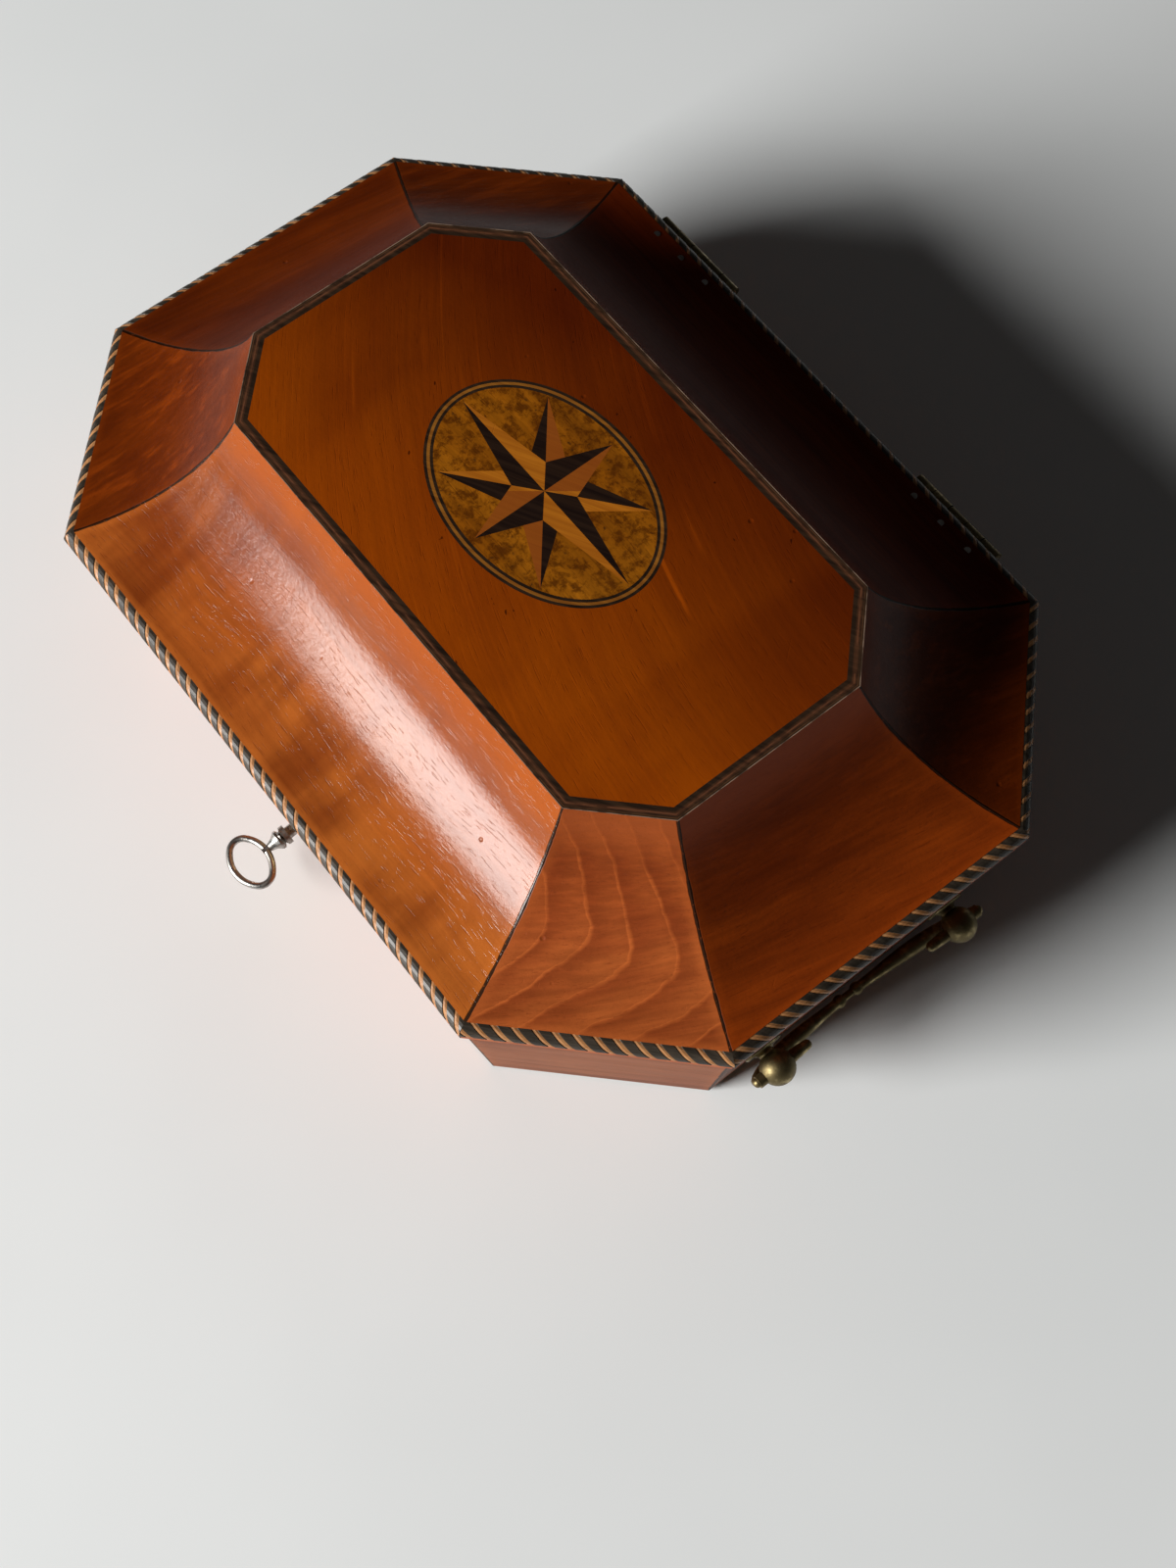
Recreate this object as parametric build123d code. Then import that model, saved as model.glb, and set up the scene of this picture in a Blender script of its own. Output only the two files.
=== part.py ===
from build123d import *

import os
from math import acos, asin, atan, cos, degrees, pi, radians, sin, sqrt, tan

# An octagonal coved box with a music movement inside.
# Millimetres. The origin is the middle of the underside, on the table. Z is up,
# the front with the key faces -Y, the hinges are at +Y and X runs along the box.

# Lid
lid_length = 300.0
lid_width = 210.0
corner_cut = 51.8
lid_edge_height = 72.0
cove_run = 50.8
cove_rise = 36.5
cove_middle_run = 0.3575
cove_middle_rise = 0.38
cove_wall = 9.0
veneer = 1.0
lid_board = 4.4
bead_radius = 3.4
lid_lip = 3.1
lid_rim_drop = 5.4
lid_joint_gap = 0.3

# Stringing and the star on the lid
stringing_dark_outer = 1.1
stringing_light = 1.4
stringing_dark_inner = 1.3
oval_centre_x = -3.3
oval_centre_y = 2.2
oval_half_length = 39.3
oval_half_width = 26.6
oval_line = 0.95
star_reach_x = 38.8
star_reach_y = 24.9
star_waist_x = 7.3
star_waist_y = 6.2
minor_reach_x = 24.3
minor_reach_y = 20.2
minor_foot_long = 0.17
minor_foot_short = 0.29

# Body
baize = 1.2
baize_inset = 1.0
base_board = 6.8
wall = 9.0
body_top_inset = 2.0
body_taper = 10.0

# Lock and key
keyhole_height = 18.5
key_barrel_radius = 2.0
key_bow_half_width = 8.8
key_bow_half_depth = 5.9
key_bow_end_radius = 4.0
key_wire_radius = 1.1
key_stem = 19.0
key_collar_gap = 3.2
key_collar_radius = 3.2
key_collar_length = 5.2
key_neck_radius = 1.25
key_bit_reach = 6.3
key_bit_width = 3.4
key_bit_thickness = 1.6
key_clearance = 0.25
drill_pin_radius = 0.8
escutcheon_half_length = 16.2
escutcheon_half_height = 8.2
escutcheon_thickness = 1.2
escutcheon_lift = 4.5
lock_half_width = 25.0
lock_flange = 7.0
lock_below = 8.4
lock_lower_flange = 1.0
lock_let_in = 5.5
lock_plate = 1.2
lock_sheet = 1.0
lock_clearance = 0.6
bolt_thickness = 1.4
bolt_tail = 10.0
bolt_arm = 2.5
prong_reach = 6.5
prong_height = 2.2
eye_spacing = 24.0
eye_thickness = 2.0
eye_width = 2.8
eye_wall = 0.65
eye_drop = 7.0
link_plate_length = 40.0
link_plate_width = 5.0
link_plate_thickness = 1.4

# Hinges
hinge_spacing = 124.0
hinge_length = 36.0
hinge_knuckles = 5
hinge_stand_off = 3.1
knuckle_radius = 2.2
hinge_pin_radius = 0.9
leaf_thickness = 1.0
leaf_depth = 8.6
knuckle_gap = 0.3
screw_radius = 1.1
screw_head_radius = 2.1
screw_length = 7.0
slot_width = 0.6
slot_depth = 0.5

# Handles
handle_height = 30.2
handle_half_span = 35.5
ball_radius = 5.5
ball_stand = 7.8
post_radius = 2.4
rose_radius = 6.4
rose_thickness = 1.4
handle_nut_radius = 4.2
handle_nut_thickness = 2.6
handle_shank_radius = 1.9
handle_shank_proud = 1.0
bail_pin_radius = 2.0
bail_tip_radius = 1.6
bail_clearance = 0.08
bail_ball_gap = 0.5
bail_tip_length = 7.1
bail_drop = 18.3
bail_lean = 14.0
bail_wire_radius = 1.5
bail_grip_radius = 2.5
bail_swell_bias = 1.4
bail_stations = 11
bail_bead_radius = 2.1
bail_bead_offset = 3.4

# Movement
bed_thickness = 3.0
bed_height = 12.0
bed_margin = 7.0
bed_foot_radius = 5.0
bed_foot_inset = 9.0
bed_screw_radius = 1.7
axis_y = 10.0
axis_z = 38.0
cylinder_radius = 15.0
cylinder_left = -46.0
cylinder_length = 105.0
pin_radius = 0.35
pin_height = 0.9
pin_rows = 16
arbor_radius = 2.5
journal_radius = 1.6
bearing_clearance = 0.05
cock_width = 16.0
cock_thickness = 4.0
running_gap = 0.6

# Comb
comb_teeth = 42
comb_gap = 0.8
comb_thickness = 2.0
comb_tip_gap = 0.3
comb_bass_length = 32.0
comb_treble_length = 21.0
comb_heel = 12.0
comb_margin = 3.0
comb_foot = 4.0
comb_screws = 8

# Gears
gear_pressure_angle = 20.0
gear_backlash = 0.16
gear_addendum = 0.9
gear_dedendum = 1.25
spring_module = 0.9
train_module = 0.7
wheel_teeth = 48
pinion_teeth = 12
wheel_thickness = 2.5
pinion_extra = 1.0

# Spring barrel and winding
barrel_radius = 19.5
barrel_length = 25.0
barrel_wall = 1.2
spring_thickness = 0.8
spring_turns = 5
spring_height = 20.0
bridge_thickness = 3.0
winding_arbor_radius = 3.2
arbor_cap_radius = 4.8
arbor_cap_thickness = 1.6
ratchet_teeth = 24
ratchet_radius = 9.0
ratchet_depth = 1.3
ratchet_flank = 0.92
ratchet_thickness = 2.4
lever_length = 56.0
lever_drop = 10.0
lever_thickness = 2.4
lever_hub_radius = 7.2
lever_root_half = 4.0
lever_tip_half = 2.5
lever_knob_radius = 4.0
lever_grip_radius = 3.2
click_length = 15.0
click_thickness = 2.2
click_gap = 0.3
click_half = 1.9
click_eye_radius = 3.0
click_arm_half = 4.0
click_angle = radians(-60)
pawl_stand = 17.0
pawl_eye_radius = 2.4
pawl_angle = radians(155)
pawl_stud_radius = 1.2

# Governor
worm_wheel_teeth = 30
worm_module = 0.8
worm_core_radius = 1.5
worm_gap = 0.5
governor_plate = 2.5
governor_space = 9.0
governor_height = 52.0
screw_seat = 5.0
vane_half_span = 8.6
vane_height = 9.0
vane_thickness = 0.8

# Start and stop lever
stop_post_gap = 11.4
stop_post_y = -12.0
stop_height = 54.0
stop_arm = 3.4
stop_post_radius = 3.0
stop_front_reach = 26.0
stop_back_reach = 29.0
stop_thickness = 2.0
stop_vane_gap = 0.5

# Worked out from the sizes above
body_top = lid_edge_height - lid_rim_drop - lid_joint_gap
lid_bottom = lid_edge_height - lid_rim_drop
lid_top = lid_edge_height + cove_rise
lid_board_top = lid_top - veneer
lid_board_bottom = lid_board_top - lid_board
body_top_offset = bead_radius - body_top_inset
lean = atan(body_taper / (body_top - baize))
wall_run = wall / cos(lean)
floor_height = baize + base_board
bed_top = bed_height + bed_thickness
FRONT, FRONT_RIGHT, RIGHT, BACK_RIGHT, BACK, BACK_LEFT, LEFT, FRONT_LEFT = range(8)


def face_of(points):
    """Closes a list of points into a flat face."""
    return make_face(Polyline(*points, close=True))


def slab(points, bottom, top):
    """A flat outline in plan raised from one height to another."""
    return extrude(Pos(0, 0, bottom) * face_of(points), amount=top - bottom)


def rod(start, end, radius, end_radius=None):
    """A round bar, or a cone, between two points."""
    run = Vector(*end) - Vector(*start)
    far_radius = radius if end_radius is None else end_radius
    plane = Plane(origin=start, z_dir=run)
    if abs(far_radius - radius) < 1e-6:
        bar = Cylinder(radius, run.length, align=(Align.CENTER, Align.CENTER, Align.MIN))
    else:
        bar = Cone(radius, far_radius, run.length, align=(Align.CENTER, Align.CENTER, Align.MIN))
    return plane.location * bar


def bent_rod(centre, bend_radius, start_angle, bend_angle, radius):
    """A round bar bent about a centre in plan."""
    out_x, out_y = cos(radians(start_angle)), sin(radians(start_angle))
    origin = (centre[0] + bend_radius * out_x, centre[1] + bend_radius * out_y, 0)
    section = Plane(origin=origin, x_dir=(0, 0, 1), z_dir=(-out_y, out_x, 0)) * Circle(radius)
    return revolve(section, axis=Axis((*centre, 0), (0, 0, 1)), revolution_arc=bend_angle)


def block(x_range, y_range, z_range):
    """A box between two values on each axis."""
    centre = [(low + high) / 2 for low, high in (x_range, y_range, z_range)]
    size = [high - low for low, high in (x_range, y_range, z_range)]
    return Pos(*centre) * Box(*size)


# Octagon and walls


def octagon_corners(offset):
    """The eight plan corners, this far outward of the lid's veneered edge."""
    half_length = lid_length / 2 + offset
    half_width = lid_width / 2 + offset
    cut = corner_cut + offset * (2 - sqrt(2))
    long_end = half_length - cut
    short_end = half_width - cut
    right = [(long_end, -half_width), (half_length, -short_end), (half_length, short_end)]
    right.append((long_end, half_width))
    return right + [(-x, -y) for x, y in right]


def octagon_slab(lower_offset, upper_offset, bottom, top):
    """An octagonal board whose edges slope from one offset to the other."""
    lower = Pos(0, 0, bottom) * face_of(octagon_corners(lower_offset))
    upper = Pos(0, 0, top) * face_of(octagon_corners(upper_offset))
    return loft([lower, upper], ruled=True)


def octagon_ring(outer_offset, width, bottom, top):
    """A flat octagonal line of stringing."""
    outer = slab(octagon_corners(outer_offset), bottom, top)
    return outer - slab(octagon_corners(outer_offset - width), bottom - 1, top + 1)


def side_direction(side):
    """The outward direction of a side in plan."""
    angle = radians(45 * side - 90)
    return cos(angle), sin(angle)


def side_distance(side, offset):
    """How far a side's line at this offset lies from the middle of the box."""
    if side in (FRONT, BACK):
        return lid_width / 2 + offset
    if side in (RIGHT, LEFT):
        return lid_length / 2 + offset
    return (lid_length / 2 + lid_width / 2 - corner_cut) / sqrt(2) + offset


def mitred_bar(section, side):
    """Runs a section, drawn outward and up from the lid's edge line, along a side between its mitres."""
    out_x, out_y = side_direction(side)
    distance = side_distance(side, 0)
    origin = (distance * out_x, distance * out_y, 0)
    plane = Plane(origin=origin, x_dir=(out_x, out_y, 0), z_dir=(out_y, -out_x, 0))
    bar = extrude(plane * section, amount=lid_length / 2, both=True)
    inner = octagon_corners(-cove_run - cove_wall - veneer)
    outer = octagon_corners(bead_radius + veneer)
    wedge = slab([inner[side - 1], outer[side - 1], outer[side], inner[side]], 0, lid_top + veneer)
    return (bar & wedge).solids()[0]


def body_offset(height):
    """The outer face of the leaning wall at a height, as an offset from the lid's edge line."""
    return body_top_offset - (body_top - height) * tan(lean)


def wall_plane(side, height, along=0.0):
    """A plane on the outer face of a wall: x to the right, y up the wall and z out of it."""
    out_x, out_y = side_direction(side)
    distance = side_distance(side, body_offset(height))
    origin = (distance * out_x - along * out_y, distance * out_y + along * out_x, height)
    normal = (cos(lean) * out_x, cos(lean) * out_y, -sin(lean))
    return Plane(origin=origin, x_dir=(-out_y, out_x, 0), z_dir=normal)


def wood_screw(plane, length=screw_length):
    """A countersunk screw whose head is flush with the plane, pointing into it."""
    head = Cone(screw_radius, screw_head_radius, screw_head_radius - screw_radius)
    head_height = screw_head_radius - screw_radius
    shank = Cylinder(screw_radius, length - head_height)
    screw = Pos(0, 0, -head_height / 2) * head
    screw += Pos(0, 0, -head_height - (length - head_height) / 2) * shank
    return plane.location * screw


def slotted(screw, plane, head_radius):
    """The screw with a driver slot sawn across its head, whose top lies in the plane."""
    slot = block((-head_radius, head_radius), (-slot_width / 2, slot_width / 2), (-slot_depth, slot_depth))
    return screw - plane.location * slot


# Body of the box


def wall_section():
    bottom_offset = body_offset(baize)
    return face_of(
        [
            (bottom_offset, baize),
            (body_top_offset, body_top),
            (body_top_offset - wall_run, body_top),
            (bottom_offset - wall_run, baize),
        ]
    )


def make_base_board():
    return octagon_slab(body_offset(baize) - wall_run, body_offset(floor_height) - wall_run, baize, floor_height)


def make_baize():
    return slab(octagon_corners(body_offset(baize) - baize_inset), 0, baize)


# Lid


def cove_line(start_offset, start_height, end_offset, end_height):
    """The hollow curve of the lid's sides from the panel's edge down to the rim."""
    run = end_offset - start_offset
    rise = start_height - end_height
    middle = (start_offset + cove_middle_run * run, end_height + cove_middle_rise * rise)
    return ThreePointArc((start_offset, start_height), middle, (end_offset, end_height))


def cove_section():
    """One coved side: hollow outside, with a rebate for the bead, a lip and a flat rim below."""
    outer = cove_line(-cove_run, lid_top, 0, lid_edge_height)
    inner = cove_line(-cove_run - cove_wall, lid_board_bottom, -cove_wall, lid_bottom)
    bead_bottom = lid_edge_height - bead_radius
    rebate = [(0, lid_edge_height), (0, bead_bottom), (lid_lip, bead_bottom)]
    rim = Polyline(*rebate, (lid_lip, lid_bottom), (-cove_wall, lid_bottom))
    joint = Polyline((-cove_run - cove_wall, lid_board_bottom), (-cove_run, lid_board_top), (-cove_run, lid_top))
    return make_face([outer, rim, inner, joint])


def bead_section():
    bead_bottom = lid_edge_height - bead_radius
    edges = Polyline((0, lid_edge_height), (0, bead_bottom), (bead_radius, bead_bottom))
    return make_face([edges, CenterArc((0, bead_bottom), bead_radius, 0, 90)])


def oval_face(grow):
    oval = Ellipse(oval_half_length + grow, oval_half_width + grow)
    return Pos(oval_centre_x, oval_centre_y, lid_board_top) * oval


def oval_ring(start):
    ring = extrude(oval_face(start + oval_line), amount=veneer)
    return ring - extrude(oval_face(start), amount=veneer)


def star_triangles():
    """The sixteen half points of the star: eight dark ones, then eight light ones."""
    tips = [(star_reach_x, 0), (0, star_reach_y), (-star_reach_x, 0), (0, -star_reach_y)]
    waists = []
    minor_tips = []
    for turn_x, turn_y in ((1, 1), (-1, 1), (-1, -1), (1, -1)):
        waists.append((turn_x * star_waist_x, turn_y * star_waist_y))
        minor_tips.append((turn_x * minor_reach_x, turn_y * minor_reach_y))

    def between(start, end, share):
        return start[0] + share * (end[0] - start[0]), start[1] + share * (end[1] - start[1])

    dark = []
    light = []
    for index in range(4):
        after = waists[index]
        before = waists[index - 1]
        next_tip = tips[(index + 1) % 4]
        dark.append([(0, 0), tips[index], after])
        light.append([(0, 0), before, tips[index]])
        share_here = minor_foot_long if index % 2 == 0 else minor_foot_short
        share_next = minor_foot_short if index % 2 == 0 else minor_foot_long
        dark.append([after, minor_tips[index], between(after, next_tip, share_next)])
        light.append([after, between(after, tips[index], share_here), minor_tips[index]])
    return dark, light


def star_pieces(triangles):
    place = Pos(oval_centre_x, oval_centre_y, 0)
    return [place * slab(points, lid_board_top, lid_top) for points in triangles]


def make_lid(nodes):
    """The lid's woodwork and its inlay."""
    names = {FRONT: "lid_front_cove", BACK: "lid_back_cove", LEFT: "lid_left_cove", RIGHT: "lid_right_cove"}
    coves = [mitred_bar(cove_section(), side) for side in range(8)]
    for side, name in names.items():
        nodes[name] = coves[side]
    nodes["lid_corner_coves"] = [coves[side] for side in range(1, 8, 2)]
    nodes["edge_bead"] = [mitred_bar(bead_section(), side) for side in range(8)]
    board_offset = -cove_run - cove_wall
    nodes["lid_top_board"] = octagon_slab(board_offset, -cove_run, lid_board_bottom, lid_board_top)
    light_offset = -cove_run - stringing_dark_outer
    inner_offset = light_offset - stringing_light
    veneer_offset = inner_offset - stringing_dark_inner
    nodes["panel_stringing_dark"] = [
        octagon_ring(-cove_run, stringing_dark_outer, lid_board_top, lid_top),
        octagon_ring(inner_offset, stringing_dark_inner, lid_board_top, lid_top),
    ]
    nodes["panel_stringing_light"] = octagon_ring(light_offset, stringing_light, lid_board_top, lid_top)
    panel = slab(octagon_corners(veneer_offset), lid_board_top, lid_top)
    nodes["lid_top_veneer"] = panel - extrude(oval_face(3 * oval_line), amount=veneer)
    nodes["oval_stringing_dark"] = [oval_ring(0), oval_ring(2 * oval_line)]
    nodes["oval_stringing_light"] = oval_ring(oval_line)
    dark, light = star_triangles()
    nodes["star_dark_halves"] = star_pieces(dark)
    nodes["star_light_halves"] = star_pieces(light)
    ground = extrude(oval_face(0), amount=veneer)
    for piece in nodes["star_dark_halves"] + nodes["star_light_halves"]:
        ground -= piece
    nodes["oval_ground"] = ground


# Hinges

hinge_axis_y = side_distance(BACK, body_top_offset) + hinge_stand_off
hinge_axis_z = body_top + lid_joint_gap / 2


def knuckle_ranges(middle, first):
    """The stretches of a hinge's barrel that one leaf carries, first 0 for the body's and 1 for the lid's."""
    pitch = hinge_length / hinge_knuckles
    start = middle - hinge_length / 2
    return [
        (start + index * pitch + knuckle_gap / 2, start + (index + 1) * pitch - knuckle_gap / 2)
        for index in range(first, hinge_knuckles, 2)
    ]


def hinge_barrel(x_range, radius):
    return rod((x_range[0], hinge_axis_y, hinge_axis_z), (x_range[1], hinge_axis_y, hinge_axis_z), radius)


def hinge_leaf(middle, first, bottom, top):
    """A leaf with its knuckles, cleared round the other leaf's knuckles."""
    inner_edge = side_distance(BACK, body_top_offset) - leaf_depth
    x_range = (middle - hinge_length / 2, middle + hinge_length / 2)
    leaf = block(x_range, (inner_edge, hinge_axis_y), (bottom, top))
    leaf -= hinge_barrel(x_range, knuckle_radius - knuckle_gap)
    for other in knuckle_ranges(middle, 1 - first):
        wide = (other[0] - knuckle_gap, other[1] + knuckle_gap)
        leaf -= hinge_barrel(wide, knuckle_radius + knuckle_gap)
    for own in knuckle_ranges(middle, first):
        leaf += hinge_barrel(own, knuckle_radius)
    return leaf - hinge_barrel(x_range, hinge_pin_radius + bearing_clearance)


def hinge_screw_places(middle):
    y = side_distance(BACK, body_top_offset) - wall_run / 2
    return [(middle + step * hinge_length / 3, y) for step in (-1, 0, 1)]


def make_hinges(nodes):
    """Two butt hinges, let into the back wall and the lid's rim."""
    case_leaves = []
    lid_leaves = []
    pins = []
    case_screws = []
    lid_screws = []
    for middle in (-hinge_spacing / 2, hinge_spacing / 2):
        x_range = (middle - hinge_length / 2, middle + hinge_length / 2)
        case_leaf = hinge_leaf(middle, 0, body_top - leaf_thickness, body_top)
        lid_leaf = hinge_leaf(middle, 1, lid_bottom, lid_bottom + leaf_thickness)
        inner_edge = side_distance(BACK, body_top_offset) - leaf_depth
        seat_y = (inner_edge, hinge_axis_y)
        case_seat = block(x_range, seat_y, (body_top - leaf_thickness, lid_bottom))
        lid_seat = block(x_range, seat_y, (body_top, lid_bottom + leaf_thickness))
        room = hinge_barrel((x_range[0] - knuckle_gap, x_range[1] + knuckle_gap), knuckle_radius + knuckle_gap)
        nodes["back_wall"] -= case_seat
        nodes["lid_back_cove"] -= lid_seat
        nodes["lid_back_cove"] -= room
        for x, y in hinge_screw_places(middle):
            case_plane = Plane(origin=(x, y, body_top), z_dir=(0, 0, 1))
            lid_plane = Plane(origin=(x, y, lid_bottom), z_dir=(0, 0, -1))
            down = wood_screw(case_plane)
            up = wood_screw(lid_plane, screw_length - leaf_thickness)
            case_leaf -= down
            lid_leaf -= up
            nodes["back_wall"] -= down
            nodes["lid_back_cove"] -= up
            case_screws.append(slotted(down, case_plane, screw_head_radius))
            lid_screws.append(slotted(up, lid_plane, screw_head_radius))
        case_leaves.append(case_leaf)
        lid_leaves.append(lid_leaf)
        pins.append(hinge_barrel(x_range, hinge_pin_radius))
    nodes["hinge_leaves_case"] = case_leaves
    nodes["hinge_leaves_lid"] = lid_leaves
    nodes["hinge_pins"] = pins
    nodes["hinge_screws_case"] = case_screws
    nodes["hinge_screws_lid"] = lid_screws


# Lock, key and link plate

key_plane = wall_plane(FRONT, keyhole_height)
lock_top = (body_top - keyhole_height) / cos(lean)
lock_front = -(wall - lock_let_in)
lock_back = -wall
bolt_middle = (lock_front - lock_sheet + lock_back) / 2
bolt_foot = key_bit_reach + lock_clearance
eye_centre_y = (key_plane.location * Pos(0, lock_top - eye_drop / 2, bolt_middle)).position.Y
eye_hole_height = lid_bottom - eye_drop / 2 - prong_height / 4


def up_wall(height, depth):
    """How far up the lock's plane a height on the box lies, at a depth behind the wall's face."""
    return (height - keyhole_height + depth * sin(lean)) / cos(lean)


def keyhole(grow):
    """The outline of the keyhole: a round hole with a slot below it."""
    hole = Circle(key_barrel_radius + key_clearance + grow)
    slot_height = key_bit_reach + key_clearance + grow
    slot = Pos(0, -slot_height / 2) * Rectangle(key_bit_thickness + 2 * (key_clearance + grow), slot_height)
    return hole + slot


def lock_box(x_half, y_range, z_range):
    return key_plane.location * block((-x_half, x_half), y_range, z_range)


def link_eyes(grow):
    """The two staples under the lid, or the slots for them with some room."""
    eyes = []
    for side in (-1, 1):
        x = side * eye_spacing / 2
        x_range = (x - eye_thickness / 2 - grow, x + eye_thickness / 2 + grow)
        y_range = (eye_centre_y - eye_width / 2 - grow, eye_centre_y + eye_width / 2 + grow)
        eyes.append(block(x_range, y_range, (lid_bottom - eye_drop - grow, lid_bottom)))
    return eyes


def make_lock_case():
    """A thin box with a back plate, let flush into the front wall from inside."""
    below_top = block((-lid_length, lid_length), (-lid_width, 0), (0, body_top))
    shell = lock_box(lock_half_width, (-lock_below, lock_top + wall), (lock_back, lock_front))
    plate_half = lock_half_width + lock_flange
    shell += lock_box(plate_half, (-lock_below - lock_lower_flange, lock_top + wall), (lock_back - lock_plate, lock_back))
    shell &= below_top
    inner_y = (-lock_below + lock_sheet, lock_top - 2 * lock_sheet)
    shell -= lock_box(lock_half_width - lock_sheet, inner_y, (lock_back, lock_front - lock_sheet))
    for slot in link_eyes(lock_clearance / 2):
        shell -= slot
    shell -= extrude(Plane(key_plane.location * Pos(0, 0, lock_back)) * keyhole(0), amount=wall)
    drill_pin = rod((0, 0, lock_back), (0, 0, lock_front), drill_pin_radius)
    return shell + key_plane.location * drill_pin


def lock_screw_planes():
    """Screws through the lock's flanges into the wall, from inside."""
    planes = []
    for x in (-1, 1):
        for y in (-lock_below / 2, lock_top / 2, lock_top - lock_flange):
            place = key_plane.location * Pos(x * (lock_half_width + lock_flange / 2), y, lock_back - lock_plate)
            planes.append(Plane(origin=place.position, z_dir=-key_plane.z_dir))
    return planes


def make_bolt():
    """The sliding bolt: a tail beside the key, a bar, and two prongs that pass the link plate's eyes."""
    eye_left = -eye_spacing / 2 - eye_thickness / 2
    eye_right = eye_spacing / 2 - eye_thickness / 2
    prong_centre = up_wall(eye_hole_height, bolt_middle)
    bar_top = up_wall(lid_bottom - eye_drop, bolt_middle) - lock_clearance
    bar_bottom = bar_top - 2 * bolt_arm
    outline = Rectangle(bolt_tail, bar_top - bolt_foot, align=(Align.CENTER, Align.MIN))
    shape = Pos(-bolt_tail / 2, bolt_foot) * outline
    left_arm = eye_left - lock_clearance - prong_reach - bolt_arm
    right_arm = eye_right - lock_clearance - prong_reach - bolt_arm
    bar = Rectangle(right_arm + bolt_arm - left_arm, bar_top - bar_bottom, align=(Align.MIN, Align.MIN))
    shape += Pos(left_arm, bar_bottom) * bar
    arm_height = prong_centre + prong_height / 2 - bar_bottom
    for arm in (left_arm, right_arm):
        shape += Pos(arm, bar_bottom) * Rectangle(bolt_arm, arm_height, align=(Align.MIN, Align.MIN))
        prong = Rectangle(bolt_arm + prong_reach, prong_height, align=(Align.MIN, Align.CENTER))
        shape += Pos(arm, prong_centre) * prong
    plate = extrude(shape, amount=bolt_thickness / 2, both=True)
    return (key_plane.location * Pos(0, 0, bolt_middle)) * plate


def make_bow():
    """The key's oval ring, of two small and two large bends that run into each other."""
    small = key_bow_end_radius
    reach = key_bow_half_width - small
    large = (reach**2 + key_bow_half_depth**2 - small**2) / (2 * (key_bow_half_depth - small))
    drop = large - key_bow_half_depth
    turn = degrees(atan(drop / reach))
    bow = bent_rod((reach, 0), small, -turn, 2 * turn, key_wire_radius)
    bow += bent_rod((-reach, 0), small, 180 - turn, 2 * turn, key_wire_radius)
    bow += bent_rod((0, -drop), large, turn, 180 - 2 * turn, key_wire_radius)
    return bow + bent_rod((0, drop), large, 180 + turn, 180 - 2 * turn, key_wire_radius)


def make_key():
    """A hollow key with a baluster collar and an oval ring bow, turned a quarter in its lock."""
    shank_end = bolt_middle - key_bit_width / 2
    stem = key_stem - key_bow_half_depth
    radius = key_barrel_radius
    collar = escutcheon_thickness + key_clearance + key_collar_gap
    profile = Polyline(
        (0, shank_end),
        (radius, shank_end),
        (radius, collar),
        (key_collar_radius, collar),
        (key_collar_radius, collar + 0.3 * key_collar_length),
        (radius, collar + 0.4 * key_collar_length),
        (key_collar_radius, collar + 0.55 * key_collar_length),
        (key_collar_radius, collar + 0.7 * key_collar_length),
        (radius, collar + key_collar_length),
        (key_neck_radius, stem - key_neck_radius),
        (key_neck_radius, stem + key_wire_radius),
        (0, stem + key_wire_radius),
        close=True,
    )
    body = revolve(Plane.XZ * make_face(profile), axis=Axis.Z)
    bow = Plane.XZ.location * Pos(0, key_stem, 0) * make_bow()
    bit_x = (radius - key_bit_thickness / 2, key_bit_reach)
    bit = block(bit_x, (-key_bit_thickness / 2, key_bit_thickness / 2), (shank_end, shank_end + key_bit_width))
    bore = rod((0, 0, shank_end - 1), (0, 0, lock_front + key_clearance), drill_pin_radius + bearing_clearance)
    return key_plane.location * (body + bow + bit - bore)


def make_escutcheon():
    plate = Pos(0, escutcheon_lift) * Ellipse(escutcheon_half_length, escutcheon_half_height)
    blank = extrude(plate, amount=escutcheon_thickness)
    blank = chamfer(blank.faces().sort_by(Axis.Z)[-1].edges(), escutcheon_thickness / 3)
    return key_plane.location * (blank - extrude(keyhole(0), amount=wall, both=True))


def make_lock(nodes):
    """The lock, let into the front wall, with its bolt, key, screws, escutcheon and link plate."""
    case = make_lock_case()
    pocket = lock_box(lock_half_width, (-lock_below, lock_top + wall), (lock_back - wall, lock_front))
    nodes["front_wall"] -= pocket
    wood_hole = Plane(key_plane.location * Pos(0, 0, -wall)) * keyhole(key_clearance)
    nodes["front_wall"] -= extrude(wood_hole, amount=2 * wall)
    screws = []
    for plane in lock_screw_planes():
        screw = wood_screw(plane, screw_length)
        case -= screw
        nodes["front_wall"] -= screw
        screws.append(slotted(screw, plane, screw_head_radius))
    nodes["lock_case"] = case
    nodes["lock_screws"] = screws
    nodes["lock_bolt"] = make_bolt()
    nodes["key"] = make_key()
    nodes["escutcheon"] = make_escutcheon()
    plate_y = (eye_centre_y - link_plate_width / 2, eye_centre_y + link_plate_width / 2)
    plate_x = (-link_plate_length / 2, link_plate_length / 2)
    link_plate = block(plate_x, plate_y, (lid_bottom, lid_bottom + link_plate_thickness))
    nodes["lid_front_cove"] -= link_plate
    for eye in link_eyes(0):
        hole_x = (-lid_length / 2, lid_length / 2)
        hole_half = prong_height / 2 + eye_wall
        hole_z = (eye_hole_height - hole_half, eye_hole_height + hole_half)
        hole_y = (eye_centre_y - eye_width / 2 + eye_wall / 2, eye_centre_y + eye_width / 2 - eye_wall / 2)
        link_plate += eye - block(hole_x, hole_y, hole_z)
    nodes["lock_link_plate"] = link_plate


# Handles

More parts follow.
